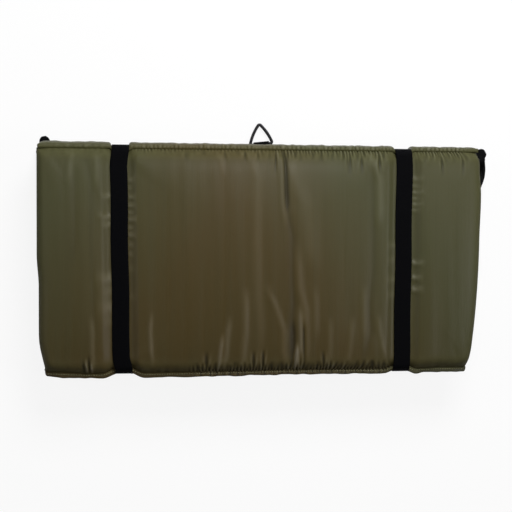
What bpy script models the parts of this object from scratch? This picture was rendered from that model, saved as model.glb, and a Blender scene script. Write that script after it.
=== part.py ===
# Padded unhooking mat for landed fish, folded in three and held shut by two elastic bands.
# Metres, +Z up. The folded mat lies on its back panel and the origin is the middle of its underside.
# +X runs along the folds, to the right of the front face, and +Y runs to the edge with the rings.

import math

import bmesh
import bpy
from mathutils import Vector

# Panels: a foam slab between an upper and a lower cloth, sewn together at mid-thickness
PANEL_LENGTH = 0.620
PANEL_WIDTH = 0.292
PANEL_THICKNESS = 0.030
PANEL_EDGE_ROUND = 0.014
COVER_THICKNESS = 0.0006
FRONT_CROWN = 0.006
EDGE_ROUND_SHARES = (0.0, 0.1, 0.32, 0.62, 1.0)
COARSE_ROUND_SHARES = (0.0, 0.18, 0.52, 1.0)

# The ends of the panels narrow towards the edge away from the rings, the right end more than the left
LEFT_CORNER_INSET = 0.007
RIGHT_CORNER_INSET = 0.008
RIGHT_LEAN_INSET = 0.015
CORNER_START_Y = -0.095
LEAN_START_Y = 0.060

# Clearances between neighbouring pieces
CLEARANCE = 0.0003
LAYER_CLEARANCE = 0.0004
FOAM_CLEARANCE = 0.0005
FOAM_END_GAP = 0.002
PANEL_SPACE = 0.0006

# Fold strips and hems along the long edges
FOLD_BULGE = 0.014
FOLD_STRIP_THICKNESS = 0.0016
STRIP_FLANGE = 0.002
HEM_THICKNESS = 0.0024
STRIP_END_MARGIN = 0.010
RING_HEM_MARGIN = 0.026
HEM_ROUND = 0.0008
HEM_ROUND_STEPS = 2

# Elastic bands
BAND_END_DISTANCE = 0.110
BAND_WIDTH = 0.025
BAND_THICKNESS = 0.0015
BAND_VALLEY = 0.005
BAND_PULL = 0.005
BAND_SIDE_GAP = 0.001
VALLEY_SHOULDER = 0.016
GROOVE_SHOULDER = 0.006
VALLEY_SHARES = (0.0, 0.35, 0.7, 1.0)
GROOVE_SHARES = (0.0, 1.0)
BAND_BOTTOM_ROUND = 0.012

# Webbing
WEBBING_WIDTH = 0.025
WEBBING_THICKNESS = 0.0012

# Triangular wire rings, each lying level in the eye of a webbing tab
RING_CORNER_ROUND = 0.0026
RING_SIDE_BOW = 0.0012
CENTRE_RING_WIDTH = 0.0322
CENTRE_RING_HEIGHT = 0.0288
CENTRE_WIRE_RADIUS = 0.0020
CENTRE_RING_X = 0.005
CENTRE_RING_REACH = 0.0237
CENTRE_RING_LEVEL = 0.004
CENTRE_RING_TURN = math.radians(6.0)
CENTRE_TAB_GAP = 0.0016
END_RING_WIDTH = 0.0290
END_RING_HEIGHT = 0.0250
END_WIRE_RADIUS = 0.0013
END_RING_LEVEL = 0.0065
LEFT_TAB_LENGTH = 0.0074
RIGHT_TAB_LENGTH = 0.0156
END_TAB_BEND = 0.0060

# Where the end rings lie, out from the ring edge and out from their end, and which way they point
LEFT_RING_PLACE = (0.0043, -0.0076)
RIGHT_RING_PLACE = (-0.0001, 0.0113)
LEFT_RING_TURN = math.radians(10.0)
RIGHT_RING_TURN = math.radians(-60.0)

# Angles at which the tabs' webbing starts and stops going round their eyes
CENTRE_EYE_ANGLES = (math.radians(80.0), math.radians(-110.0))
END_EYE_ANGLES = (math.radians(115.0), math.radians(-90.0))

# Shoulder strap: places from a ring to the crossing, out from the ring edge and out from an end
LEFT_STRAP_PLACES = (
    (0.0240, -0.0041), (0.0176, -0.0010), (0.0115, 0.0022), (0.0060, 0.0042), (0.0000, 0.0048),
    (-0.0100, 0.0050), (-0.0200, 0.0046), (-0.0320, 0.0030), (-0.0600, 0.0018), (-0.0900, 0.0022),
)
RIGHT_STRAP_PLACES = (
    (0.0111, 0.0299), (0.0056, 0.0283), (-0.0005, 0.0270), (-0.0060, 0.0266), (-0.0130, 0.0264),
    (-0.0220, 0.0258), (-0.0320, 0.0241), (-0.0440, 0.0190), (-0.0600, 0.0120), (-0.0900, 0.0028),
)
STRAP_LEVELS = (0.0102, 0.0108, 0.0132, 0.0160, 0.0162, 0.0150, 0.0135, 0.0132, 0.0132, 0.0132)
STRAP_WIDTHS = (0.010, 0.010, 0.0112, 0.0138, 0.015, 0.020, 0.025, 0.025, 0.025, 0.025)
STRAP_UPRIGHT_SHARES = (0.0, 0.0, 0.4, 0.85, 1.0, 1.0, 1.0, 1.0, 1.0, 1.0)
LEFT_STRAP_SLACK = 0.0040
STRAP_LOOP_START = 0.0122
STRAP_CROSSING_Y = 0.006
STRAP_TURN_ROUND = 0.002
STRAP_BEND_ROUND = 0.0035

# Facet counts
ROUND_STEPS = 6
WIRE_CORNER_STEPS = 5
CIRCLE_STEPS = 16
STRIP_ROWS = 6
MIDDLE_ROWS = 6
SECTION_COLUMNS = 4
CENTRE_COLUMNS = 10
COARSE_ROWS = 3
COARSE_COLUMNS = 6
BASE_COLUMNS = 2

# Levels and edges that follow from the sizes above
HALF_LENGTH = PANEL_LENGTH / 2
HALF_WIDTH = PANEL_WIDTH / 2
SEAM_GAP = COVER_THICKNESS + LAYER_CLEARANCE
STRAP_SPACE = WEBBING_THICKNESS + 2 * LAYER_CLEARANCE
BACK_FLOOR = 0.0
MIDDLE_FLOOR = PANEL_THICKNESS + STRAP_SPACE
FRONT_FLOOR = MIDDLE_FLOOR + PANEL_THICKNESS + PANEL_SPACE
BACK_FOLD_LEVEL = MIDDLE_FLOOR - STRAP_SPACE / 2
FRONT_FOLD_LEVEL = FRONT_FLOOR - PANEL_SPACE / 2
BACK_FOLD_Y = -(HALF_WIDTH + FOLD_BULGE)
FRONT_FOLD_Y = HALF_WIDTH + FOLD_BULGE
BAND_X = HALF_LENGTH - BAND_END_DISTANCE
BAND_FLAT = BAND_WIDTH / 2 + BAND_SIDE_GAP
BAND_REACH = BAND_FLAT + VALLEY_SHOULDER
BAND_GROOVE = CLEARANCE + BAND_THICKNESS + LAYER_CLEARANCE
HEM_WIDTH = FOLD_BULGE - BAND_PULL - CLEARANCE
BAND_INNER_Y = HALF_WIDTH + CLEARANCE + FOLD_BULGE - BAND_PULL + LAYER_CLEARANCE
BAND_INNER_TOP = FRONT_FLOOR + PANEL_THICKNESS - BAND_VALLEY + LAYER_CLEARANCE
BAND_TOP_ROUND = BAND_INNER_TOP - FRONT_FLOOR - PANEL_THICKNESS / 2 - HEM_THICKNESS / 2
CENTRE_RING_PLACE = (CENTRE_RING_X, HALF_WIDTH + CENTRE_RING_REACH, CENTRE_RING_LEVEL)

OLIVE = (0.085, 0.082, 0.045)
OLIVE_SHADE = (0.060, 0.056, 0.030)
FOAM_GREY = (0.32, 0.32, 0.30)
BLACK = (0.012, 0.012, 0.014)
WIRE_BLACK = (0.020, 0.020, 0.022)


def clear_scene():
    """Empty the scene and the meshes that it held."""
    for obj in list(bpy.data.objects):
        bpy.data.objects.remove(obj, do_unlink=True)


def make_material(name, colour, roughness, metallic=0.0):
    """A plain surface in one colour."""
    material = bpy.data.materials.new(name)
    material.use_nodes = True
    shader = material.node_tree.nodes["Principled BSDF"]
    shader.inputs["Base Color"].default_value = (*colour, 1.0)
    shader.inputs["Roughness"].default_value = roughness
    shader.inputs["Metallic"].default_value = metallic
    return material


def add_object(name, data, collection, material, parent=None):
    """Link a mesh or curve under its name. Shapes given in world places keep them under a parent."""
    obj = bpy.data.objects.new(name, data)
    collection.objects.link(obj)
    data.materials.append(material)
    if parent is not None:
        obj.parent = parent
        obj.location = -parent.location
    return obj


def add_axis(name, place, collection, turn=0.0):
    """An empty on a joint's axis, turned about the vertical with the ring that it carries."""
    axis = bpy.data.objects.new(name, None)
    collection.objects.link(axis)
    axis.location = Vector(place)
    axis.rotation_euler = (0.0, 0.0, turn)
    return axis


def ease(share):
    """A smooth step from 0 to 1."""
    share = min(max(share, 0.0), 1.0)
    return share * share * (3 - 2 * share)


def spread(start, stop, count):
    """Evenly spaced places from start to stop, both ends included."""
    return [start + (stop - start) * k / count for k in range(count + 1)]


def end_inset(side, y):
    """How far an end of the panels is drawn in at a place along the width."""
    corner = max(0.0, (CORNER_START_Y - y) / (CORNER_START_Y + HALF_WIDTH)) ** 2
    if side < 0:
        return LEFT_CORNER_INSET * corner
    lean = max(0.0, (LEAN_START_Y - y) / (LEAN_START_Y + HALF_WIDTH)) ** 2
    return RIGHT_CORNER_INSET * corner + RIGHT_LEAN_INSET * lean


def inset_x(x, y, extra=0.0):
    """Draw the panel in beyond the bands, so that its ends follow the inset and any extra."""
    keep = BAND_X + BAND_REACH
    rim = HALF_LENGTH - PANEL_EDGE_ROUND
    side = -1 if x < 0 else 1
    share = min(max((abs(x) - keep) / (rim - keep), 0.0), 1.0)
    return x - side * (end_inset(side, y) + extra) * share


def edge_fall(distance):
    """The rounded fall of a panel near its rim, 0 at the rim and 1 inside the rounding."""
    if distance >= PANEL_EDGE_ROUND:
        return 1.0
    share = 1 - max(distance, 0.0) / PANEL_EDGE_ROUND
    return math.sqrt(max(0.0, 1 - share * share))


def rim_fall(x, y):
    """The fall at a place of the plan, from both its distances to the rim."""
    side = -1 if x < 0 else 1
    to_end = HALF_LENGTH - end_inset(side, y) - abs(x)
    to_edge = HALF_WIDTH - abs(y)
    return edge_fall(to_end) * edge_fall(to_edge)


def beside_band(x):
    """1 under an elastic band, easing to 0 beyond its shoulders."""
    away = abs(abs(x) - BAND_X)
    return 1 - ease((away - BAND_FLAT) / VALLEY_SHOULDER)


def section_bump(x):
    """The crown of the cushion between the bands and the ends, 0 at each of them."""
    inner = BAND_X - BAND_FLAT
    outer = BAND_X + BAND_FLAT
    if abs(x) < inner:
        share = (x + inner) / (2 * inner)
    elif abs(x) > outer:
        share = (abs(x) - outer) / (HALF_LENGTH - outer)
    else:
        return 0.0
    return math.sqrt(max(0.0, 4 * share * (1 - share)))


def half_height(x, y):
    """The rounded height of a plain panel over its seam."""
    return SEAM_GAP / 2 + (PANEL_THICKNESS / 2 - SEAM_GAP / 2) * rim_fall(x, y)


def front_height(x, y):
    """The outer face of the front panel: crowned, with a valley under each band."""
    across = 1 - (y / HALF_WIDTH) ** 2
    crown = FRONT_CROWN * section_bump(x) * across
    return half_height(x, y) + crown - BAND_VALLEY * beside_band(x) * edge_fall(HALF_WIDTH - abs(y))


def base_height(x, y):
    """The underside of the back panel: flat, with a groove for each band."""
    away = abs(abs(x) - BAND_X)
    groove = BAND_GROOVE * (1 - ease((away - BAND_FLAT) / GROOVE_SHOULDER))
    return half_height(x, y) - groove * edge_fall(HALF_WIDTH - abs(y))


def rim_places(half, shares, middle):
    """Places across a panel: close together in the roundings, with the given ones between."""
    rounding = [half - PANEL_EDGE_ROUND * s for s in shares]
    outer = rounding[:-1]
    inner = [m for m in middle if abs(m) < rounding[-1]]
    ends = [rounding[-1], -rounding[-1]]
    return sorted([-p for p in outer] + ends + inner + outer)


def band_columns(shoulder, shares):
    """Places along the length that follow the bands' flats and the shoulders beside them."""
    offsets = [BAND_FLAT + shoulder * share for share in shares]
    columns = []
    for centre in (-BAND_X, BAND_X):
        columns += [centre - offset for offset in offsets]
        columns += [centre + offset for offset in offsets]
    return columns


def front_columns():
    """Columns of the front face: the bands, the middle section and the two end sections."""
    inner = BAND_X - BAND_REACH
    outer = BAND_X + BAND_REACH
    rim = HALF_LENGTH - PANEL_EDGE_ROUND
    columns = band_columns(VALLEY_SHOULDER, VALLEY_SHARES)
    columns += spread(-inner, inner, CENTRE_COLUMNS)[1:-1]
    for side in (-1, 1):
        columns += [side * x for x in spread(outer, rim, SECTION_COLUMNS)[1:-1]]
    return columns


def plain_columns():
    """Columns of a face that no band touches."""
    return spread(-BAND_X - BAND_REACH, BAND_X + BAND_REACH, COARSE_COLUMNS)


def base_columns():
    """Columns of the underside, with a pair at each wall of a band's groove."""
    inner = BAND_X - BAND_REACH
    outer = BAND_X + BAND_REACH
    grooves = band_columns(GROOVE_SHOULDER, GROOVE_SHARES)
    return grooves + spread(-inner, inner, BASE_COLUMNS) + [-outer, outer]


def panel_rows(shares, count):
    """Rows across the width of a panel."""
    flat = HALF_WIDTH - PANEL_EDGE_ROUND
    return rim_places(HALF_WIDTH, shares, spread(-flat, flat, count)[1:-1])


def placed_grid(columns, rows, place):
    """A grid primitive with its vertices moved to the place of their column and row."""
    bm = bmesh.new()
    bmesh.ops.create_grid(bm, x_segments=len(columns) - 1, y_segments=len(rows) - 1, size=0.5)
    for vert in bm.verts:
        i = round((vert.co.x + 0.5) * (len(columns) - 1))
        j = round((vert.co.y + 0.5) * (len(rows) - 1))
        vert.co = place(columns[i], rows[j])
    return bm


def finish_mesh(bm, name, smooth=True):
    """Write a bmesh to a mesh and shade it."""
    mesh = bpy.data.meshes.new(name)
    bm.to_mesh(mesh)
    bm.free()
    if smooth:
        mesh.shade_smooth()
    return mesh


def solidify(obj, thickness, offset):
    """Give an open sheet its thickness, to the inside for offset -1 and to both sides for 0."""
    modifier = obj.modifiers.new("thickness", "SOLIDIFY")
    modifier.thickness = thickness
    modifier.offset = offset
    modifier.use_even_offset = False


def add_cover(name, seam_level, columns, rows, height, facing, collection, material, parent=None):
    """One cloth of a panel, from the seam up over the foam, or down under it for facing -1."""
    def place(column, row):
        x = inset_x(column, row)
        return Vector((x, row, seam_level + facing * height(x, row)))

    bm = placed_grid(columns, rows, place)
    if facing < 0:
        bmesh.ops.reverse_faces(bm, faces=bm.faces[:])
    obj = add_object(name, finish_mesh(bm, name), collection, material, parent)
    solidify(obj, COVER_THICKNESS, -1)
    return obj


def add_foam(name, seam_level, columns, rows, upper, lower, collection, material, parent=None):
    """The foam slab of a panel, which fills its covers inside their rounded rims."""
    edge_x = HALF_LENGTH - PANEL_EDGE_ROUND
    edge_y = HALF_WIDTH - PANEL_EDGE_ROUND
    inner_columns = [c for c in columns if abs(c) <= edge_x + CLEARANCE]
    inner_rows = [r for r in rows if abs(r) <= edge_y + CLEARANCE]
    skin = COVER_THICKNESS + FOAM_CLEARANCE

    def place(column, row):
        x = inset_x(column, row, FOAM_END_GAP)
        return Vector((x, row, seam_level + upper(x, row) - skin))

    bm = placed_grid(inner_columns, inner_rows, place)
    extruded = bmesh.ops.extrude_face_region(bm, geom=bm.faces[:])
    for item in extruded["geom"]:
        if isinstance(item, bmesh.types.BMVert):
            item.co.z = seam_level - lower(item.co.x, item.co.y) + skin
    bmesh.ops.recalc_face_normals(bm, faces=bm.faces[:])
    return add_object(name, finish_mesh(bm, name, smooth=False), collection, material, parent)


def add_panel(label, floor, faces, collection, materials, parent=None):
    """A padded panel: its lower cover, foam slab and upper cover."""
    seam = floor + PANEL_THICKNESS / 2
    upper_columns, upper_shares, upper_count, upper = faces["upper"]
    lower_columns, lower_shares, lower_count, lower = faces["lower"]
    foam_columns, foam_count = faces["foam"]
    top = rim_places(HALF_LENGTH, upper_shares, upper_columns)
    base = rim_places(HALF_LENGTH, lower_shares, lower_columns)
    foam = rim_places(HALF_LENGTH, COARSE_ROUND_SHARES, foam_columns)
    shade = materials["olive_shade"]
    add_cover(label + "_cover_lower", seam, base, panel_rows(lower_shares, lower_count), lower, -1,
              collection, shade, parent)
    add_foam(label + "_foam", seam, foam, panel_rows(COARSE_ROUND_SHARES, foam_count), upper, lower,
             collection, materials["foam"], parent)
    add_cover(label + "_cover_upper", seam, top, panel_rows(upper_shares, upper_count), upper, 1,
              collection, materials["olive"], parent)


def edge_span(edge, margin):
    """The two ends of a piece sewn along a long edge, each a margin short of the panel's end."""
    left = -(HALF_LENGTH - end_inset(-1, edge * HALF_WIDTH) - margin)
    right = HALF_LENGTH - end_inset(1, edge * HALF_WIDTH) - margin
    return left, right


def strip_columns(edge):
    """Places along a fold strip, from end to end, closer beside the bands."""
    inner = BAND_X - BAND_REACH
    columns = list(edge_span(edge, STRIP_END_MARGIN)) + band_columns(VALLEY_SHOULDER, VALLEY_SHARES)
    return sorted(columns + spread(-inner, inner, SECTION_COLUMNS)[1:-1])


def add_fold_strip(name, edge, low_seam, high_seam, collection, material, parent=None):
    """The cloth strip between two panels, curved out round their fold and pressed in by the bands."""
    middle = (low_seam + high_seam) / 2
    rise = (high_seam - low_seam) / 2
    root = HALF_WIDTH + CLEARANCE

    def place(column, row):
        flange, angle = row
        bulge = FOLD_BULGE - STRIP_FLANGE - BAND_PULL * beside_band(column)
        y = edge * (root + flange + bulge * math.cos(angle))
        return Vector((column, y, middle + rise * math.sin(angle)))

    quarter = math.pi / 2
    curved = [(STRIP_FLANGE, angle) for angle in spread(-quarter, quarter, STRIP_ROWS)]
    rows = [(0.0, -quarter)] + curved + [(0.0, quarter)]
    bm = placed_grid(strip_columns(edge), rows, place)
    if edge > 0:
        bmesh.ops.reverse_faces(bm, faces=bm.faces[:])
    obj = add_object(name, finish_mesh(bm, name), collection, material, parent)
    solidify(obj, FOLD_STRIP_THICKNESS, -1)
    return obj


def add_hem(name, edge, margin, seam_level, collection, material, parent=None):
    """A flat sewn hem along a free edge of a panel."""
    left, right = edge_span(edge, margin)
    size = Vector((right - left, HEM_WIDTH - CLEARANCE, HEM_THICKNESS))
    centre = Vector(((left + right) / 2, edge * (HALF_WIDTH + CLEARANCE + size.y / 2), seam_level))
    bm = bmesh.new()
    bmesh.ops.create_cube(bm, size=1.0)
    bmesh.ops.scale(bm, vec=size, verts=bm.verts[:])
    bmesh.ops.translate(bm, vec=centre, verts=bm.verts[:])
    obj = add_object(name, finish_mesh(bm, name, smooth=False), collection, material, parent)
    bevel = obj.modifiers.new("sewn_edge", "BEVEL")
    bevel.width = HEM_ROUND
    bevel.segments = HEM_ROUND_STEPS
    return obj


def arc_points(centre, radius, start, stop, count):
    """Points along an arc in a plane, angles in radians."""
    return [
        (centre[0] + radius * math.cos(a), centre[1] + radius * math.sin(a))
        for a in spread(start, stop, count)
    ]


def rounded_box_points(half_width, low, high, low_round, high_round):
    """A box outline about the second axis, with its own rounding below and above."""
    points = []
    corners = (
        (half_width - low_round, low + low_round, low_round, -math.pi / 2),
        (half_width - high_round, high - high_round, high_round, 0.0),
        (-half_width + high_round, high - high_round, high_round, math.pi / 2),
        (-half_width + low_round, low + low_round, low_round, math.pi),
    )
    for x, y, radius, start in corners:
        points += arc_points((x, y), radius, start, start + math.pi / 2, ROUND_STEPS)
    return points


def add_outline(curve, points):
    """Add one closed straight-sided spline to a curve."""
    spline = curve.splines.new("POLY")
    spline.points.add(len(points) - 1)
    for point, place in zip(spline.points, points):
        point.co = (place[0], place[1], 0.0, 1.0)
    spline.use_cyclic_u = True


def flat_outline(name, outlines, width):
    """A flat outline with its holes, given a width square to its plane."""
    curve = bpy.data.curves.new(name, "CURVE")
    curve.dimensions = "2D"
    curve.fill_mode = "BOTH"
    curve.extrude = width / 2
    for points in outlines:
        add_outline(curve, points)
    return curve


def turn_to_side_plane(obj, turn=0.0):
    """Stand an outline up so that its first axis runs along Y, or turned from it, and its second up."""
    obj.rotation_euler = (math.pi / 2, 0.0, math.pi / 2 + turn)


def add_band(name, side, collection, material):
    """An elastic loop round the folded mat, in the grooves of its underside and its front."""
    outer_y = BAND_INNER_Y + BAND_THICKNESS
    low = CLEARANCE
    high = BAND_INNER_TOP + BAND_THICKNESS
    outside = rounded_box_points(
        outer_y, low, high, BAND_BOTTOM_ROUND + BAND_THICKNESS, BAND_TOP_ROUND + BAND_THICKNESS
    )
    inside = rounded_box_points(
        BAND_INNER_Y, low + BAND_THICKNESS, BAND_INNER_TOP, BAND_BOTTOM_ROUND, BAND_TOP_ROUND
    )
    obj = add_object(name, flat_outline(name, [outside, inside], BAND_WIDTH), collection, material)
    turn_to_side_plane(obj)
    obj.location = (side * BAND_X, 0.0, 0.0)
    return obj


def round_corner(before, corner, after, radius, steps):
    """Replace the corner between two straight lines by an arc."""
    to_before = (Vector(before) - Vector(corner)).normalized()
    to_after = (Vector(after) - Vector(corner)).normalized()
    half = to_before.angle(to_after) / 2
    centre = Vector(corner) + (to_before + to_after).normalized() * (radius / math.sin(half))
    first = Vector(corner) + to_before * (radius / math.tan(half)) - centre
    last = Vector(corner) + to_after * (radius / math.tan(half)) - centre
    sweep = first.angle_signed(last)
    start = math.atan2(first.y, first.x)
    return [
        (centre.x + radius * math.cos(start - sweep * k / steps),
         centre.y + radius * math.sin(start - sweep * k / steps))
        for k in range(steps + 1)
    ]


def ring_outline(width, height):
    """The wire's centre line: a triangle on its base bar, with round corners and bowed sides."""
    left = (-width / 2, 0.0)
    right = (width / 2, 0.0)
    top = (0.0, height)
    outward = Vector((height, width / 2)).normalized() * RING_SIDE_BOW
    points = round_corner(left, right, top, RING_CORNER_ROUND, WIRE_CORNER_STEPS)
    points.append((width / 4 + outward.x, height / 2 + outward.y))
    points += round_corner(right, top, left, RING_CORNER_ROUND, WIRE_CORNER_STEPS)
    points.append((-width / 4 - outward.x, height / 2 + outward.y))
    points += round_corner(top, left, right, RING_CORNER_ROUND, WIRE_CORNER_STEPS)
    return points


def base_bar_length(width, height):
    """The straight stretch of a ring's base bar, between its round corners."""
    half_corner = math.atan2(height, width / 2) / 2
    return width - 2 * RING_CORNER_ROUND / math.tan(half_corner)


def add_ring(name, width, height, wire_radius, collection, material, axis):
    """A bent and closed wire ring whose base bar lies on its joint's axis."""
    curve = bpy.data.curves.new(name, "CURVE")
    curve.dimensions = "3D"
    curve.bevel_depth = wire_radius
    curve.bevel_resolution = 2
    add_outline(curve, ring_outline(width, height))
    obj = add_object(name, curve, collection, material)
    obj.parent = axis
    return obj


def add_ring_tab(name, place, turn, eye_radius, angles, flat, width, collection, material):
    """Webbing folded round a ring's base bar, with its two flat layers running back to the mat.

    The flat layers are given by their length, the bend before the eye and their underside."""
    length, bend, under = flat
    top = under + 2 * WEBBING_THICKNESS
    start, stop = angles
    eye = (0.0, 0.0)
    outline = [(-length, under), (-length, top), (-bend, top)]
    outline += arc_points(eye, eye_radius + WEBBING_THICKNESS, start, stop, CIRCLE_STEPS)
    outline.append((-bend, under))
    hole = arc_points(eye, eye_radius, 0.0, 2 * math.pi, CIRCLE_STEPS)[:-1]
    obj = add_object(name, flat_outline(name, [outline, hole], width), collection, material)
    turn_to_side_plane(obj, turn)
    obj.location = place
    return obj


def add_centre_tab(name, collection, material):
    """The centre ring's tab, sewn under the hem of the ring edge."""
    top = PANEL_THICKNESS / 2 - HEM_THICKNESS / 2 - CLEARANCE
    under = top - 2 * WEBBING_THICKNESS - CENTRE_RING_LEVEL
    flat = (CENTRE_RING_REACH - CENTRE_TAB_GAP, CENTRE_RING_REACH - HEM_WIDTH, under)
    width = base_bar_length(CENTRE_RING_WIDTH, CENTRE_RING_HEIGHT) - 2 * CLEARANCE
    return add_ring_tab(name, CENTRE_RING_PLACE, CENTRE_RING_TURN, CENTRE_WIRE_RADIUS + CLEARANCE,
                        CENTRE_EYE_ANGLES, flat, width, collection, material)


def end_ring_place(side):
    """The middle of an end ring's base bar and the way that the ring points."""
    out, beyond = LEFT_RING_PLACE if side < 0 else RIGHT_RING_PLACE
    turn = LEFT_RING_TURN if side < 0 else RIGHT_RING_TURN
    return Vector((side * (HALF_LENGTH + beyond), HALF_WIDTH + out, END_RING_LEVEL)), turn


def add_end_tab(name, side, collection, material):
    """An end ring's tab, sewn under a corner of the back panel."""
    place, turn = end_ring_place(side)
    length = LEFT_TAB_LENGTH if side < 0 else RIGHT_TAB_LENGTH
    eye_radius = END_WIRE_RADIUS + CLEARANCE
    flat = (length, END_TAB_BEND, -eye_radius - WEBBING_THICKNESS)
    width = base_bar_length(END_RING_WIDTH, END_RING_HEIGHT) - 2 * CLEARANCE
    return add_ring_tab(name, place, turn, eye_radius, END_EYE_ANGLES, flat, width, collection, material)


def add_strap_loop(name, collection, material, axis):
    """The gathered end of the strap, sewn in a loop through the tip of an end ring."""
    reach = END_WIRE_RADIUS + CLEARANCE
    low = STRAP_LOOP_START + WEBBING_THICKNESS
    high = END_RING_HEIGHT + reach
    inner = rounded_box_points(reach, low, high, reach / 2, reach)
    outer = rounded_box_points(
        reach + WEBBING_THICKNESS, STRAP_LOOP_START, high + WEBBING_THICKNESS,
        reach, reach + WEBBING_THICKNESS,
    )
    obj = add_object(name, flat_outline(name, [outer, inner], STRAP_WIDTHS[0]), collection, material)
    obj.parent = axis
    obj.rotation_euler = (0.0, -math.pi / 2, 0.0)
    return obj


def strap_run(side):
    """Stations of the strap from a ring to its crossing: it lies flat on its loop and turns on edge.

    Each is the centre of the webbing, the direction across it and its width."""
    places = LEFT_STRAP_PLACES if side < 0 else RIGHT_STRAP_PLACES
    points = [
        Vector((side * (HALF_LENGTH + beyond), HALF_WIDTH + out, level))
        for (out, beyond), level in zip(places, STRAP_LEVELS)
    ]
    stations = []
    for k, point in enumerate(points):
        ahead = points[min(k + 1, len(points) - 1)] - points[max(k - 1, 0)]
        inward = Vector((side * ahead.y, -side * ahead.x, 0.0)).normalized()
        angle = math.pi / 2 * STRAP_UPRIGHT_SHARES[k]
        across = inward * math.cos(angle) + Vector((0.0, 0.0, 1.0)) * math.sin(angle)
        stations.append((point, across, STRAP_WIDTHS[k]))
    return stations


def strap_crossing(side):
    """Stations of the strap where it turns up an end of the mat and goes in between two panels."""
    slack = LEFT_STRAP_SLACK if side < 0 else 0.0
    wall = HALF_LENGTH + LAYER_CLEARANCE + WEBBING_THICKNESS / 2 + slack
    edge_level = STRAP_LEVELS[-1]
    turn = STRAP_TURN_ROUND + WEBBING_WIDTH / 2
    stations = []
    for angle in spread(0.0, math.pi / 2, ROUND_STEPS):
        y = STRAP_CROSSING_Y + turn - turn * math.sin(angle)
        z = edge_level + turn * (1 - math.cos(angle))
        across = Vector((0.0, math.sin(angle), math.cos(angle)))
        stations.append((Vector((side * wall, y, z)), across, WEBBING_WIDTH))

    gap_level = PANEL_THICKNESS + STRAP_SPACE / 2
    bend_top = max(gap_level - edge_level - turn, STRAP_BEND_ROUND)
    along = Vector((0.0, 1.0, 0.0))
    for angle in spread(0.0, math.pi / 2, ROUND_STEPS)[1:]:
        x = wall - STRAP_BEND_ROUND * (1 - math.cos(angle))
        z = gap_level - bend_top * (1 - math.sin(angle))
        stations.append((Vector((side * x, STRAP_CROSSING_Y, z)), along, WEBBING_WIDTH))
    quarter = Vector((side * HALF_LENGTH / 2, STRAP_CROSSING_Y, gap_level))
    stations.append((quarter, along, WEBBING_WIDTH))
    return stations


def add_strap(name, collection, material):
    """The shoulder strap: down one end of the mat, between two panels and up the other end."""
    left = strap_run(-1) + strap_crossing(-1)
    right = strap_run(1) + strap_crossing(1)
    stations = left + right[::-1]

    def place(index, share):
        centre, across, width = stations[index]
        return centre + across * (width * share)

    bm = placed_grid(range(len(stations)), (-0.5, 0.5), place)
    obj = add_object(name, finish_mesh(bm, name, smooth=False), collection, material)
    solidify(obj, WEBBING_THICKNESS, 0)
    return obj


def panel_faces():
    """The columns, roundings, rows and heights of each panel's two faces and foam."""
    plain = (plain_columns(), COARSE_ROUND_SHARES, COARSE_ROWS, half_height)
    base = (base_columns(), COARSE_ROUND_SHARES, COARSE_ROWS, base_height)
    front = (front_columns(), EDGE_ROUND_SHARES, MIDDLE_ROWS, front_height)
    return {
        "back": {"lower": base, "upper": plain, "foam": (base_columns(), COARSE_ROWS)},
        "middle": {"lower": plain, "upper": plain, "foam": (plain_columns(), COARSE_ROWS)},
        "front": {"lower": plain, "upper": front, "foam": (front_columns(), MIDDLE_ROWS)},
    }


def build():
    """Make every piece of the mat."""
    clear_scene()
    mat = bpy.data.collections.new("unhooking_mat")
    bpy.context.scene.collection.children.link(mat)
    materials = {
        "olive": make_material("olive_nylon", OLIVE, 0.45),
        "olive_shade": make_material("olive_nylon_under", OLIVE_SHADE, 0.55),
        "foam": make_material("foam", FOAM_GREY, 0.9),
        "webbing": make_material("black_webbing", BLACK, 0.8),
        "elastic": make_material("black_elastic", BLACK, 0.7),
        "wire": make_material("black_wire", WIRE_BLACK, 0.35, 0.6),
    }

    back_fold = add_axis("back_fold_axis", (0.0, BACK_FOLD_Y, BACK_FOLD_LEVEL), mat)
    front_fold = add_axis("front_fold_axis", (0.0, FRONT_FOLD_Y, FRONT_FOLD_LEVEL), mat)
    back_seam = BACK_FLOOR + PANEL_THICKNESS / 2
    middle_seam = MIDDLE_FLOOR + PANEL_THICKNESS / 2
    front_seam = FRONT_FLOOR + PANEL_THICKNESS / 2

    faces = panel_faces()
    add_panel("back", BACK_FLOOR, faces["back"], mat, materials)
    add_panel("middle", MIDDLE_FLOOR, faces["middle"], mat, materials, back_fold)
    add_panel("front", FRONT_FLOOR, faces["front"], mat, materials, front_fold)

    add_fold_strip("back_fold_strip", -1, back_seam, middle_seam, mat, materials["olive_shade"])
    add_fold_strip("front_fold_strip", 1, middle_seam, front_seam, mat, materials["olive"], back_fold)
    add_hem("back_hem", 1, RING_HEM_MARGIN, back_seam, mat, materials["olive_shade"])
    add_hem("front_hem", -1, STRIP_END_MARGIN, front_seam, mat, materials["olive"], front_fold)

    add_centre_tab("centre_ring_tab", mat, materials["webbing"])
    centre_axis = add_axis("centre_ring_axis", CENTRE_RING_PLACE, mat, CENTRE_RING_TURN)
    add_ring("centre_ring", CENTRE_RING_WIDTH, CENTRE_RING_HEIGHT, CENTRE_WIRE_RADIUS, mat,
             materials["wire"], centre_axis)

    for label, side in (("left", -1), ("right", 1)):
        add_band("elastic_band_" + label, side, mat, materials["elastic"])
        add_end_tab(label + "_ring_tab", side, mat, materials["webbing"])
        place, turn = end_ring_place(side)
        axis = add_axis(label + "_ring_axis", place, mat, turn)
        add_ring(label + "_ring", END_RING_WIDTH, END_RING_HEIGHT, END_WIRE_RADIUS, mat,
                 materials["wire"], axis)
        add_strap_loop("strap_loop_" + label, mat, materials["webbing"], axis)

    add_strap("shoulder_strap", mat, materials["webbing"])


build()
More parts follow.
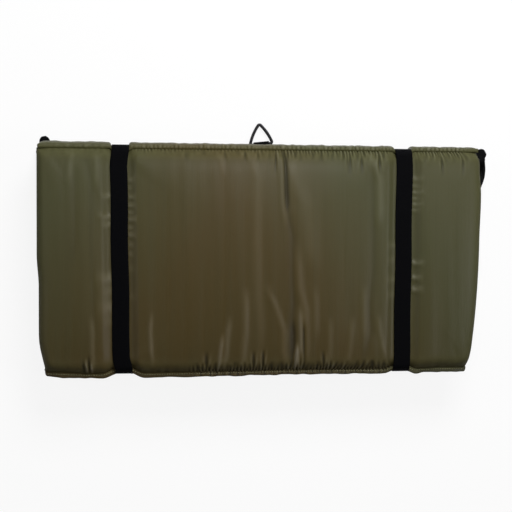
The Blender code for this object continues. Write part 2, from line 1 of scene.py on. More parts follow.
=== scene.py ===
# Folded unhooking mat: the looks of each piece, in the order in which the mat is put together.
import math

import bmesh
import bpy
import numpy as np
from mathutils import Matrix, Vector


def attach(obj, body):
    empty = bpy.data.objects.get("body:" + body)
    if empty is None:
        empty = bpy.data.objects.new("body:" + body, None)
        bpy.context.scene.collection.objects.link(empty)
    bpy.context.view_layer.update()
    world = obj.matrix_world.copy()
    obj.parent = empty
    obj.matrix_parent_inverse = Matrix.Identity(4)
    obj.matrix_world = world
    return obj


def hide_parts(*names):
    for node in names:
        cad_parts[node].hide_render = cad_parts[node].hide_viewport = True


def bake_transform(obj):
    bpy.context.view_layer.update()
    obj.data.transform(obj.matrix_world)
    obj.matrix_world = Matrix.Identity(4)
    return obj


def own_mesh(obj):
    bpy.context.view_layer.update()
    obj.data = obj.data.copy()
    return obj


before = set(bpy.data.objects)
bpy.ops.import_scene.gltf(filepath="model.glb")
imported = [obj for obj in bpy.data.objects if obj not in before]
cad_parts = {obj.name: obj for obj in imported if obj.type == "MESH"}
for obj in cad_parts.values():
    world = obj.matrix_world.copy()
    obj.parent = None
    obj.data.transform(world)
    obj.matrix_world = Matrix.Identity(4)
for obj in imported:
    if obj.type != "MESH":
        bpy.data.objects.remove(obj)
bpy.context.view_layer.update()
scene = bpy.context.scene


# View and light
# The mat lies face up on a plain white table and is seen from above, a little from its left end.
# The main soft light stands beyond the ring edge, so that edge is lighter than the near one, and
# three weak ones fill the other sides.
VIEW_PLACE = (-0.170, 0.0194, 1.5)
VIEW_YAW = math.radians(6.42)
VIEW_PITCH = math.radians(-0.51)
VIEW_FOCUS_PX = 1026.6
VIEW_SIDE_PX = 512
VIEW_FILM_MM = 36.0
VIEW_REACH = 30.0
WHITE = (1.0, 1.0, 1.0)
ROOM_STOPS = ((0.0, 0.16), (0.25, 0.18), (0.60, 0.07), (1.0, 0.05))
TABLE_GREY = 0.86
TABLE_ROUGHNESS = 0.9
TABLE_GLOW = 0.88
TABLE_HALF_SIDE = 12.0
TABLE_LEVEL = -0.0004


def add_object(name, data):
    """Put an object with its data in the scene."""
    added = bpy.data.objects.new(name, data)
    scene.collection.objects.link(added)
    return added


def fill_inputs(tree, node, inputs):
    """Give a node's inputs their values: numbers, colours, or the outputs that feed them."""
    for label, value in inputs.items():
        socket = node.inputs[label]
        if isinstance(value, bpy.types.NodeSocket):
            tree.links.new(value, socket)
        else:
            socket.default_value = (*value, 1.0) if socket.type == "RGBA" else value


def add_node(tree, kind, inputs=None, **settings):
    """A shader node with its settings and inputs."""
    node = tree.nodes.new(f"ShaderNode{kind}")
    for label, value in settings.items():
        setattr(node, label, value)
    fill_inputs(tree, node, inputs or {})
    return node


def math_node(tree, operation, *values):
    """The result of a maths node on numbers or outputs."""
    return add_node(tree, "Math", dict(enumerate(values)), operation=operation).outputs[0]


def mix_colours(tree, factor, first, second):
    """Mix two colours, each a plain colour or an output."""
    return add_node(tree, "Mix", {"Factor": factor, 6: first, 7: second}, data_type="RGBA").outputs[2]


def new_material(name):
    """A material with its node tree and its shader."""
    material = bpy.data.materials.new(name)
    material.use_nodes = True
    return material, material.node_tree, material.node_tree.nodes["Principled BSDF"]


scene.view_settings.view_transform = "Standard"
camera_data = bpy.data.cameras.new("front_view")
camera_data.sensor_width = VIEW_FILM_MM
camera_data.lens = VIEW_FOCUS_PX * VIEW_FILM_MM / VIEW_SIDE_PX
camera_data.clip_end = VIEW_REACH
camera = add_object("front_view", camera_data)
looking = Vector((
    math.sin(VIEW_YAW) * math.cos(VIEW_PITCH),
    math.sin(VIEW_PITCH),
    -math.cos(VIEW_YAW) * math.cos(VIEW_PITCH),
))
rightward = looking.cross(Vector((0.0, 1.0, 0.0))).normalized()
camera.matrix_world = Matrix((rightward, rightward.cross(looking), -looking)).transposed().to_4x4()
camera.location = VIEW_PLACE
scene.camera = camera

# The room is lighter round the horizon than overhead, and the camera sees it plain white.
scene.world = bpy.data.worlds.new("studio")
scene.world.use_nodes = True
room = scene.world.node_tree
height = add_node(room, "SeparateXYZ", {0: add_node(room, "TexCoord").outputs["Generated"]}).outputs["Z"]
room_ramp = add_node(room, "ValToRGB", {"Fac": height})
while len(room_ramp.color_ramp.elements) < len(ROOM_STOPS):
    room_ramp.color_ramp.elements.new(0.5)
for element, (place, grey) in zip(room_ramp.color_ramp.elements, ROOM_STOPS):
    element.position = place
    element.color = (grey, grey, grey, 1.0)
seen = add_node(room, "LightPath").outputs["Is Camera Ray"]
backdrop = mix_colours(room, seen, room_ramp.outputs["Color"], WHITE)
fill_inputs(room, room.nodes["Background"], {"Color": backdrop})

for name, place, size, power in (
    ("light_beyond_rings", (0.22, 1.05, 1.20), 0.7, 24.5),
    ("light_left", (-1.30, 0.30, 1.25), 0.9, 4.0),
    ("light_right", (1.35, -0.10, 1.30), 0.9, 8.0),
    ("light_near", (0.2, -1.7, 1.2), 0.9, 1.5),
):
    light = bpy.data.lights.new(name, "AREA")
    light.shape = "SQUARE"
    light.size = size
    light.energy = power
    lamp = add_object(name, light)
    lamp.location = place
    to_mat = Vector((0.0, 0.0, 0.05)) - Vector(place)
    lamp.rotation_euler = to_mat.to_track_quat("-Z", "Y").to_euler()

# The table top keeps the mat's soft shadow and is otherwise white.
table_mesh = bpy.data.meshes.new("table_top")
table_grid = bmesh.new()
bmesh.ops.create_grid(table_grid, x_segments=10, y_segments=10, size=TABLE_HALF_SIDE)
table_grid.to_mesh(table_mesh)
table_grid.free()
table_top = add_object("table_top", table_mesh)
table_top.location = (0.0, 0.0, TABLE_LEVEL)

table_paint, table_tree, paint = new_material("white_table")
fill_inputs(table_tree, paint, {"Base Color": (TABLE_GREY,) * 3, "Roughness": TABLE_ROUGHNESS})
seen = add_node(table_tree, "LightPath").outputs["Is Camera Ray"]
lit_table = add_node(table_tree, "MixShader", {
    "Fac": math_node(table_tree, "MULTIPLY", seen, TABLE_GLOW),
    1: paint.outputs[0],
    2: add_node(table_tree, "Emission").outputs[0],
})
fill_inputs(table_tree, table_tree.nodes["Material Output"], {"Surface": lit_table.outputs[0]})
table_mesh.materials.append(table_paint)


# Back panel
# The bottom layer of the folded mat: a slab of soft foam between two coated nylon cloths, which are
# sewn together round their edges at mid-thickness. The band grooves in its underside stay flat.
PANEL_HALF_LENGTH = 0.310
PANEL_HALF_WIDTH = 0.146
PANEL_HALF_DEPTH = 0.015
PANEL_ROUNDING = 0.014
SEAM_LIFT = 0.0005
SEAM_WEAR_REACH = 0.018
BACK_SEAM = 0.015
BAND_PLACE = 0.200
BAND_HALF_WIDTH = 0.0125
BAND_GROOVE = 0.0022
GROOVE_HALF_WIDTH = BAND_HALF_WIDTH + 0.001
GROOVE_SHOULDER = 0.006
DRAWN_FROM = BAND_PLACE + 0.0295
CORNER_FROM, LEAN_FROM = -0.095, 0.060
PRESSED_FLAT = 0.0006
FLAT_FROM_RIM = 0.03
OLIVE = (0.052, 0.051, 0.0195)
# The brown below is a painted sheen, a painted reflection laid over the olive; the next numbers spread it.
BROWN_SHEEN = (0.0585, 0.0408, 0.0118)
SHEEN_MIDDLE, SHEEN_TO_NEAR, SHEEN_MOTTLE = 0.80, 3.4, 1.1
STREAK_DARKER, WORN_LIGHTER, WORN_SHARE = 0.78, 1.7, 0.30
# Painted light: the nylon is painted lighter towards the far edge, and paler and greyer on its ridges.
PAINTED_LIGHT_TO_FAR, PAINTED_LIGHT_ON_RIDGES, PAINTED_SHEEN_ON_RIDGES = 0.60, 0.42, 0.16
NYLON_GLOSS, GLOSS_LOST_AT_SEAMS, NYLON_COAT = 0.26, 0.11, 0.05
FOLD_LIMITS = (-1.2, 2.4)
RIDGE_FOR_PAINTED_LIGHT = 0.0010
GATHERS_FADE_OVER = 0.02
GATHER_REACH = (0.010, 0.014)
GATHER_SLANT = 0.08
LONG_GATHER_SHARE, LONG_GATHER_MORE = 0.08, 0.014
PULL_HEIGHT = 0.00032
LOWER_STEP = 4
RIM_STEPS = (0.0, 0.0004, 0.0010, 0.0018, 0.0028, 0.0040, 0.0054, 0.0070, 0.0090, 0.0115, 0.0140)


def eased(share):
    """A smooth step from 0 to 1."""
    share = np.clip(share, 0.0, 1.0)
    return share * share * (3 - 2 * share)


def drawn_end(side, y):
    """How far an end of the panels is drawn in at a place along the width."""
    corner, lean = (
        np.maximum(0.0, (start - y) / (start + PANEL_HALF_WIDTH)) ** 2 for start in (CORNER_FROM, LEAN_FROM)
    )
    return np.where(side < 0, 0.007 * corner, 0.008 * corner + 0.015 * lean)


def drawn_x(x, y):
    """Draw the panel's ends in beyond the bands."""
    rim = PANEL_HALF_LENGTH - PANEL_ROUNDING
    side = np.where(x < 0, -1, 1)
    share = np.clip((np.abs(x) - DRAWN_FROM) / (rim - DRAWN_FROM), 0.0, 1.0)
    return x - side * drawn_end(side, y) * share


def edge_fall(distance, rounding=PANEL_ROUNDING):
    """The rounded fall towards a rim, 0 at the rim and 1 inside the rounding."""
    share = 1 - np.clip(distance / rounding, 0.0, 1.0)
    return np.sqrt(np.maximum(0.0, 1 - share * share))


def rim_distances(x, y):
    """Distances to the nearer end and to the nearer long edge."""
    to_end = PANEL_HALF_LENGTH - drawn_end(np.where(x < 0, -1, 1), y) - np.abs(x)
    return to_end, PANEL_HALF_WIDTH - np.abs(y)


def inside_rim(x, y, reach):
    """0 at the panel's rim, rising evenly to 1 at a distance from it."""
    return np.clip(np.minimum(*rim_distances(x, y)) / reach, 0.0, 1.0)


def plain_rise(x, y):
    """A plain panel's rounded height over its seam."""
    to_end, to_edge = rim_distances(x, y)
    fall = edge_fall(to_end) * edge_fall(to_edge)
    return SEAM_LIFT * np.minimum(1.0, to_edge / 0.001) + (PANEL_HALF_DEPTH - SEAM_LIFT) * fall


def streaks(x, y, seed, height, shortest=0.012, longest=0.070, count=26):
    """Soft lengthwise waves of a taut cloth, each running across the width of the mat."""
    rng = np.random.default_rng(seed)
    total = np.zeros_like(x)
    for _ in range(count):
        wave = shortest * (longest / shortest) ** rng.random()
        phase = rng.uniform(0.0, math.tau)
        lean = rng.uniform(-0.05, 0.05)
        swell = 0.55 + 0.45 * np.sin(y / rng.uniform(0.05, 0.14) + rng.uniform(0.0, math.tau))
        total += (wave / longest) * swell * np.sin(math.tau * (x + lean * y) / wave + phase)
    return height * total / math.sqrt(count / 6)


def dense_places(half, spacing, rim_steps):
    """Places from -half to half, dense at both rims, in a count that the lower cloth can share."""
    inner = half - rim_steps[-1]
    count = LOWER_STEP * max(1, round(2 * inner / spacing / LOWER_STEP))
    while (count + 2 * (len(rim_steps) - 1)) % LOWER_STEP:
        count += 1
    middle = list(np.linspace(-inner, inner, count + 1))
    edge = [half - step for step in rim_steps[:-1]]
    return np.array([-e for e in edge] + middle + edge[::-1])


def grid_faces(index, order=(0, 1, 2, 3)):
    """Four-sided faces between the rows and columns of a grid of vertex numbers."""
    corners = (index[:-1, :-1], index[:-1, 1:], index[1:, 1:], index[1:, :-1])
    return np.stack([corners[k] for k in order], axis=-1).reshape(-1, 4).tolist()


def grid_rim(rows, columns):
    """Rows and columns of the places once round the rim of a grid."""
    rim = [(0, i) for i in range(columns)] + [(j, columns - 1) for j in range(1, rows)]
    rim += [(rows - 1, i) for i in range(columns - 2, -1, -1)]
    return rim + [(j, 0) for j in range(rows - 2, 0, -1)]


def make_piece(name, places, faces):
    """A smooth piece from its places and faces."""
    mesh = bpy.data.meshes.new(name)
    places = np.asarray(places, float).reshape(-1, 3)
    mesh.from_pydata(places.tolist(), [], [[int(v) for v in face] for face in faces])
    mesh.update()
    mesh.shade_smooth()
    return add_object(name, mesh)


def mark_cloth(cloth, near, folds):
    """Store how near each vertex is to a seam, and the painted light and shade of its ridges and valleys."""
    for label, values in (("seam_near", near), ("fold", np.clip(folds, *FOLD_LIMITS))):
        attribute = cloth.data.attributes.new(label, "FLOAT", "POINT")
        attribute.data.foreach_set("value", np.asarray(values, dtype=np.float32).ravel())


def sew_cushion(name, seam, xs, ys, rise, sink, spread_plan=None, folds=None, turned=False):
    """A closed cushion, turned over or not: a dense cloth and a coarser one that share their seam."""
    grid_x, grid_y = np.meshgrid(xs, ys)
    plan_x = drawn_x(grid_x, grid_y)
    upper = np.stack([plan_x, grid_y, seam + rise(plan_x, grid_y)], axis=-1)
    if spread_plan is not None:
        upper[..., 0], upper[..., 1] = spread_plan(plan_x, grid_y)
    rows, columns = grid_x.shape
    lower_i = np.arange(LOWER_STEP, columns - LOWER_STEP, LOWER_STEP)
    lower_j = np.arange(LOWER_STEP, rows - LOWER_STEP, LOWER_STEP)
    lower = np.stack([plan_x, grid_y, grid_y], axis=-1)[np.ix_(lower_j, lower_i)]
    lower[..., 2] = seam - sink(lower[..., 0], lower[..., 1])
    places = np.concatenate([upper.reshape(-1, 3), lower.reshape(-1, 3)])

    index = np.arange(rows * columns).reshape(rows, columns)
    under = rows * columns + np.arange(lower_j.size * lower_i.size).reshape(lower_j.size, lower_i.size)
    faces = grid_faces(index) + grid_faces(under, (0, 3, 2, 1))
    rim = grid_rim(rows, columns)

    def nearest_under(spot):
        steps = (round(at / LOWER_STEP) - 1 for at in spot)
        return under[tuple(min(max(step, 0), size - 1) for step, size in zip(steps, under.shape))]

    nearest = [nearest_under(spot) for spot in rim]
    for k, spot in enumerate(rim):
        after = (k + 1) % len(rim)
        faces.append([index[rim[after]], index[spot], nearest[k]])
        if nearest[k] != nearest[after]:
            faces[-1].append(nearest[after])
    if turned:
        places[:, 2] = 2 * seam - places[:, 2]
        faces = [face[::-1] for face in faces]
    cushion = make_piece(name, places, faces)
    shade = np.zeros(len(places))
    if folds is not None:
        shade[:rows * columns] = folds(plan_x, grid_y).ravel()
    to_rim = np.minimum(*rim_distances(places[:, 0], places[:, 1]))
    mark_cloth(cushion, 1 - eased(to_rim / SEAM_WEAR_REACH), shade)
    return cushion


def new_group(name, numbers, outputs):
    """A shader node group with named number inputs and outputs."""
    group = bpy.data.node_groups.new(name, "ShaderNodeTree")
    for label, value in numbers.items():
        socket = group.interface.new_socket(label, in_out="INPUT", socket_type="NodeSocketFloat")
        socket.default_value = value
    for label in outputs:
        group.interface.new_socket(label, in_out="OUTPUT", socket_type="NodeSocketFloat")
    return group, group.nodes.new("NodeGroupInput").outputs, group.nodes.new("NodeGroupOutput")


def own_places(tree):
    """The object's own places."""
    return add_node(tree, "TexCoord").outputs["Object"]


def weighed_sum(tree, base, *terms):
    """A base plus each output times its gain."""
    for value, gain in terms:
        base = math_node(tree, "MULTIPLY_ADD", value, gain, base)
    return base


def noise_node(tree, places, scale, stretch=(1.0, 1.0, 1.0), detail=2.0, shift=0.0):
    """Noise over places, stretched by a factor along each axis."""
    squeeze = add_node(tree, "Mapping", {"Vector": places, "Scale": stretch, "Location": (shift,) * 3})
    noise = {"Vector": squeeze.outputs["Vector"], "Scale": scale, "Detail": detail}
    return add_node(tree, "TexNoise", noise).outputs["Fac"]


def bump_chain(tree, shader, heights):
    """Feed heights into the shader's normal, each given with its depth in metres."""
    before = {}
    for height, depth in heights:
        bump = add_node(tree, "Bump", {"Strength": 1.0, "Distance": depth, "Height": height, **before})
        before = {"Normal": bump.outputs["Normal"]}
    fill_inputs(tree, shader, before)


# Plain weave: threads that pass over and under each other, given as a height.
weave_group, weave_in, weave_out = new_group("nylon_weave", {"Threads": 2200.0}, ("Height",))
weave_axes = add_node(weave_group, "SeparateXYZ", {0: own_places(weave_group)}).outputs
weft_run = math_node(weave_group, "ADD", weave_axes["Y"], weave_axes["Z"])
warp, weft = (
    math_node(weave_group, "SINE", math_node(weave_group, "MULTIPLY", run, weave_in["Threads"]))
    for run in (weave_axes["X"], weft_run)
)
fill_inputs(weave_group, weave_out, {"Height": math_node(weave_group, "MULTIPLY", warp, weft)})

# Cloth tone: slow changes of shade and fine streaks of sheen, both drawn out across the mat's width.
tone_group, tone_in, tone_out = new_group("cloth_tone", {"Shift": 0.0}, ("Tone", "Streak"))
tone_places = add_node(
    tone_group, "VectorMath", {0: own_places(tone_group), 1: tone_in["Shift"]}, operation="ADD"
).outputs[0]
for label, scale, lengthen, detail in (("Tone", 7.0, 0.35, 2.0), ("Streak", 120.0, 0.035, 3.0)):
    noise = noise_node(tone_group, tone_places, scale, (1.0, lengthen, 1.0), detail)
    fill_inputs(tone_group, tone_out, {label: noise})


def coated_nylon(name, sheen_span, shade=1.0, roughness=0.42, shift=0.0):
    """Coated nylon: an olive cloth with a painted brown sheen, a painted reflection over part of its length.
    """
    material, tree, shader = new_material(name)
    tone = add_node(tree, "Group", {"Shift": shift}, node_tree=tone_group).outputs
    axes = add_node(tree, "SeparateXYZ", {0: own_places(tree)}).outputs
    seam, fold = (
        add_node(tree, "Attribute", attribute_name=label).outputs["Fac"] for label in ("seam_near", "fold")
    )
    olive, brown = (tuple(c * shade for c in colour) for colour in (OLIVE, BROWN_SHEEN))

    # The painted brown sheen fills its span of the length, is stronger towards the near edge and is mottled.
    low, high = sheen_span
    away = math_node(tree, "ABSOLUTE", math_node(tree, "SUBTRACT", axes["X"], (low + high) / 2))
    terms = ((away, -2 / (high - low)), (axes["Y"], -SHEEN_TO_NEAR), (tone["Tone"], SHEEN_MOTTLE))
    cast = weighed_sum(tree, SHEEN_MIDDLE, *terms)
    cast = math_node(tree, "MINIMUM", math_node(tree, "MAXIMUM", cast, 0.0), 1.0)
    colour = mix_colours(tree, cast, olive, brown)
    darker, paler = (tuple(c * gain for c in olive) for gain in (STREAK_DARKER, WORN_LIGHTER))
    streaked = mix_colours(tree, weighed_sum(tree, -0.175, (tone["Streak"], 0.5)), colour, darker)

    # The cloth is worn pale and matt along its seams. Painted light makes it lighter towards the far edge
    # and paler and greyer on its ridges, and painted shade darkens its valleys.
    worn = math_node(tree, "MULTIPLY", seam, noise_node(tree, own_places(tree), 90.0, shift=3.0))
    worn_cloth = mix_colours(tree, math_node(tree, "MULTIPLY", worn, WORN_SHARE), streaked, paler)
    ridge = math_node(tree, "MAXIMUM", fold, 0.0)
    painted_light_cloth = add_node(tree, "HueSaturation", {
        "Color": worn_cloth,
        "Value": weighed_sum(tree, 1.0, (axes["Y"], PAINTED_LIGHT_TO_FAR), (fold, PAINTED_LIGHT_ON_RIDGES)),
        "Saturation": weighed_sum(tree, 1.0, (ridge, -PAINTED_SHEEN_ON_RIDGES)),
    })
    fill_inputs(tree, shader, {
        "Base Color": painted_light_cloth.outputs["Color"],
        "Roughness": weighed_sum(tree, roughness - 0.06, (tone["Streak"], 0.14), (seam, 0.26)),
        "Specular IOR Level": weighed_sum(tree, NYLON_GLOSS, (seam, -GLOSS_LOST_AT_SEAMS)),
        "Coat Weight": weighed_sum(tree, NYLON_COAT, (seam, -NYLON_COAT)),
        "Coat Roughness": 0.30,
    })
    weave = add_node(tree, "Group", {"Threads": 5200.0}, node_tree=weave_group).outputs
    bump_chain(tree, shader, [(weave["Height"], 0.00003), (tone["Streak"], 0.00035)])
    return material


def groove_for_bands(x):
    """1 in a band's groove of the underside, easing to 0 beside it."""
    away = np.abs(np.abs(x) - BAND_PLACE)
    return 1 - eased((away - GROOVE_HALF_WIDTH) / GROOVE_SHOULDER)


def plan_gathers(seed, spans, pitch=0.0033, depth=0.0013, weakest=0.35, reach_by=1.0):
    """Seeded gathers of a stitch line, each as place, depth, reach, half width and slant.

    One with a negative depth stands up as a ridge.
    """
    rng = np.random.default_rng(seed)
    rows = []
    for start, stop in spans:
        x = start
        while x < stop:
            strength = weakest + (1 - weakest) * rng.random() ** 1.4
            ends = min(1.0, min(x - start, stop - x) / GATHERS_FADE_OVER + 0.3)
            reach = rng.uniform(*GATHER_REACH)
            if rng.random() < LONG_GATHER_SHARE:
                reach += LONG_GATHER_MORE
            half_width = pitch * rng.uniform(0.22, 0.32)
            slant = rng.uniform(-GATHER_SLANT, GATHER_SLANT)
            rows.append((x, depth * strength * ends, reach_by * reach, half_width, slant))
            x += pitch * rng.uniform(0.78, 1.22)
    return np.array(rows)


def gather_relief(x, away, gathers, start=0.0012):
    """The height of gathers at a distance from their stitch line, drawn tight at the line."""
    total = np.zeros_like(x)
    for place, depth, reach, half_width, slant in gathers:
        fade = np.clip(1.6 * (1 - away / reach), 0.0, 1.0) * np.clip(away / start, 0.0, 1.0)
        offset = (x - place - slant * away) / (half_width * (1 + 1.2 * away / reach))
        total -= depth * fade * (np.exp(-offset**2) - 0.45 * np.exp(-((np.abs(offset) - 1.9) ** 2)))
    return total


def shown_cloth(seed):
    """The rise of an inner cloth that shows when the mat is open, and the painted light and shade of its
    folds.

    Its neighbour presses it nearly flat. It has soft gathers along both long edges and slight pulls.
    """
    rows = [
        plan_gathers(seed + k, [(-0.290, 0.290)], pitch=0.0095, depth=0.0012, reach_by=2.2) for k in (1, 2)
    ]

    def relief(x, y):
        to_end, _ = rim_distances(x, y)
        aways = (PANEL_HALF_WIDTH - y, PANEL_HALF_WIDTH + y)
        edges = sum(gather_relief(x, away, row) for away, row in zip(aways, rows))
        pulls = streaks(x, y, seed, PULL_HEIGHT, shortest=0.020, longest=0.110)
        return np.clip(to_end / 0.012, 0.0, 1.0) * (edges + pulls)

    def rise(x, y):
        _, to_edge = rim_distances(x, y)
        pressed = PRESSED_FLAT * inside_rim(x, y, FLAT_FROM_RIM)
        return plain_rise(x, y) - pressed + relief(x, y) * np.minimum(1.0, to_edge / 0.003)

    def folds(x, y):
        return relief(x, y) / RIDGE_FOR_PAINTED_LIGHT
    return rise, folds


def back_sink(x, y):
    """The lower cloth of the back panel, flat on the table."""
    return plain_rise(x, y) - BAND_GROOVE * groove_for_bands(x) * edge_fall(PANEL_HALF_WIDTH - np.abs(y))


back_cloth = coated_nylon("olive_nylon_back", sheen_span=(-0.20, 0.20), shade=0.92, shift=5.0)
inner_xs = dense_places(PANEL_HALF_LENGTH, 0.0020, RIM_STEPS)
inner_ys = dense_places(PANEL_HALF_WIDTH, 0.0045, RIM_STEPS)
back_rise, back_folds = shown_cloth(11)
back_cushion = sew_cushion(
    "back_panel_cushion", BACK_SEAM, inner_xs, inner_ys, back_rise, back_sink, folds=back_folds
)
back_cushion.data.materials.append(back_cloth)
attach(back_cushion, "back_panel")
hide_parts("back_cover_lower", "back_cover_upper")


# Middle panel
# The middle layer, made as the back panel is. It lies upside down between the other two, so the
# cloth that shows when the mat is open is underneath, and its long edges are sewn to the fold strips.
MIDDLE_SEAM = 0.047
HIDDEN_FLAT = 0.0003
HIDDEN_WAVE = 0.00015


def pressed_face(seed):
    """A hidden cloth that its neighbour presses nearly flat."""
    def face(x, y):
        inside = inside_rim(x, y, FLAT_FROM_RIM)
        return plain_rise(x, y) - HIDDEN_FLAT * inside + inside * streaks(x, y, seed, HIDDEN_WAVE)
    return face


middle_cloth = coated_nylon("olive_nylon_middle", sheen_span=(-0.18, 0.18), shade=0.96, shift=9.0)
middle_rise, middle_folds = shown_cloth(21)
middle_cushion = sew_cushion(
    "middle_panel_cushion", MIDDLE_SEAM, inner_xs, inner_ys, middle_rise, pressed_face(22),
    folds=middle_folds, turned=True
)
middle_cushion.data.materials.append(middle_cloth)
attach(middle_cushion, "middle_panel")
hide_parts("middle_cover_lower", "middle_cover_upper")


# Front panel
# The top layer and the face that shows: thinly coated nylon over soft foam. The cloth is cut a
# little long, so it fills out between the bands, stands in gathers at both stitch lines and in soft
# creases between them, and the bands press a valley across it. Its fill is a settled cloth.
FRONT_SEAM = 0.0776
FRONT_CROWN = 0.006
FACE_SHOULDER = 0.013
FACE_VALLEY = 0.0046
FACE_END_ROUNDING = 0.012
OPEN_REACH = 0.007
BAND_LEAN = 0.004
BAND_TOPS = {-1: -0.19985, 1: 0.19925}
BAND_CURLS = {-1: (0.0034, 0.0034), 1: (-0.0012, -0.0008)}
BAND_CURL_FAR = (0.128, 0.026)
BAND_CURL_NEAR = (0.132, 0.022)
EDGE_LINE = 0.15
CROWN_INNER, CROWN_OUTER = 0.1865, 0.2135
SPREAD_FROM = 0.095
END_SPREAD_FROM, END_SPREAD_OVER = 0.235, 0.060
CREASE_GAIN = 1.9
PUCKER_GAIN = 2.4
CREASE_WIDTH = 0.0025
GATHER_FOR_PAINTED_LIGHT = 0.0006
FAR_SPREAD = 0.0085
SEAM_RAISE = 0.0034
RAISED_OVER = 0.02
TAUT_WAVE = 0.00028
CREASE_FADE, CREASE_FADE_SHARE = 0.012, 0.22
SETTLE_COUNTS = (125, 59)
SETTLE_FRAMES = 20
SETTLE_PRESSURE = 4.0
CLOTH_SLACK = 0.012
LARGEST_DROP = 0.0015
SETTLED_SHARE = 0.6
MM = 0.001

# Creases of the face, in millimetres: the height of each, its half width, how sharp it is and the
# places that it runs through. A valley has a negative height.
CREASES = (
    (0.6, 5, 2.0, ((-18.5, 141.9), (-10.2, 108.9), (-11.6, 28.9), (-10.2, -54), (-7.4, -95.5),
        (-8.8, -125.9))),
    (0.5, 3, 2.0, ((23.2, 143.7), (23.2, 109.1), (24.6, 77.3), (27.4, 53.8))),
    (-1, 1.4, 1.3, ((27.4, 150), (29.5, 120), (30.2, 92), (31.2, 77.3))),
    (-0.45, 3.6, 1.6, ((30.2, 77.3), (38.6, 33.1), (38.6, -15.4), (40.1, -61.2), (37.3, -102.8),
        (37.3, -140.3))),
    (0.75, 8.5, 2.0, ((34.4, 132.7), (41.4, 109.2), (54, 77.4), (59.7, 33.1), (62.5, -5.8))),
    (0.7, 4.2, 2.0, ((45.6, 8.1), (48.5, -40.4), (55.5, -68.2), (56.9, -98.8), (56.9, -123.8),
        (58.3, -141.9))),
    (0.8, 2.2, 1.6, ((48.5, -70), (49.5, -98.7), (50.5, -123.7), (51.5, -140.4))),
    (1.5, 1.5, 1.4, ((45.2, -118), (43.8, -129), (43.4, -140), (43, -150))),
    (-0.7, 1.6, 1.5, ((54, -89), (54.8, -123.8), (55.6, -140.5))),
    (-0.6, 2.2, 1.5, ((40.1, -88.9), (41, -123.7), (40, -140.4))),
    (0.58, 3.6, 2.0, ((5.1, -43), (13.5, -61), (26.1, -98.5), (26.1, -123.5), (31.7, -140.2))),
    (0.7, 3.4, 2.0, ((-26.8, -47), (-26.8, -98), (-29.6, -122.9), (-29.6, -140.8))),
    (0.7, 2.6, 2.0, ((-49, -84.1), (-51.7, -101.9), (-53.1, -122.6), (-55.9, -140.5))),
    (0.85, 2.2, 2.0, ((-58.7, -106), (-61.4, -122.5), (-62.8, -140.4))),
    (0.55, 2, 2.0, ((-155.8, -77.7), (-157.2, -96.8), (-155.9, -121.4), (-154.5, -129.7))),
    (0.55, 2.6, 2.0, ((-236.8, -82.5), (-235.5, -100.2), (-235.5, -120.5), (-234.2, -139.6))),
    (1.1, 1.1, 1.4, ((-244.2, -132), (-242.2, -147))),
    (1.1, 1, 1.4, ((-237, -135), (-235, -148))),
    (-0.8, 1.4, 1.5, ((-240.4, -129), (-238.8, -147))),
    (-0.7, 1.4, 1.5, ((-248.4, -133), (-246.4, -147))),
    (0.22, 5, 2.0, ((-255.2, 136.9), (-247.2, 107.2), (-247.3, 69.3), (-246, 28.7), (-242.1, -14.7),
        (-243.5, -59.4), (-242.2, -96))),
    (-0.16, 3.4, 1.8, ((-243.2, 130.2), (-236.5, 107.3), (-236.6, 69.4), (-238, 28.7), (-232.7, -59.5),
        (-232.8, -96.1), (-231.5, -120.6))),
    (-0.16, 3.4, 1.8, ((-259.2, 123.3), (-259.3, 96.3), (-258, 69.3), (-258, 28.7), (-262.1, -1.1))),
    (0.45, 3, 2.0, ((-229.8, 137.1), (-229.8, 101.9))),
    (0.4, 3, 2.0, ((-261.9, 144), (-264.6, 128.7), (-267.3, 107.1))),
    (0.28, 2.6, 2.0, ((-66.8, 144.1), (-60, 130.5), (-58.6, 116.8))),
    (0.65, 3.6, 2.0, ((151.5, 140.7), (161.5, 110.1), (161.5, 71), (160.1, 54.2))),
    (0.5, 2.6, 2.0, ((147.2, 144.9), (148.7, 126.7))),
    (-0.28, 3.8, 1.8, ((150.1, 133.7), (153, 84.9), (153, 29), (153.1, -15.8), (147.4, -61.9),
        (150.3, -99.7), (140.4, -127.6))),
    (0.45, 3, 2.0, ((121.8, -85.5), (119, -124.5), (116.2, -142.7))),
    (0.35, 3.4, 2.0, ((138.9, -40.9), (138.9, -75.8), (138.9, -103.8))),
    (0.45, 3, 2.0, ((160.3, -80.2), (161.7, -99.8), (168.9, -127.9))),
    (0.45, 3, 2.0, ((90.7, -85.2), (90.7, -117.2), (90.7, -142.3))),
    (0.35, 3.4, 2.0, ((69.5, -43.3), (71, -75.3), (71, -103.1))),
)

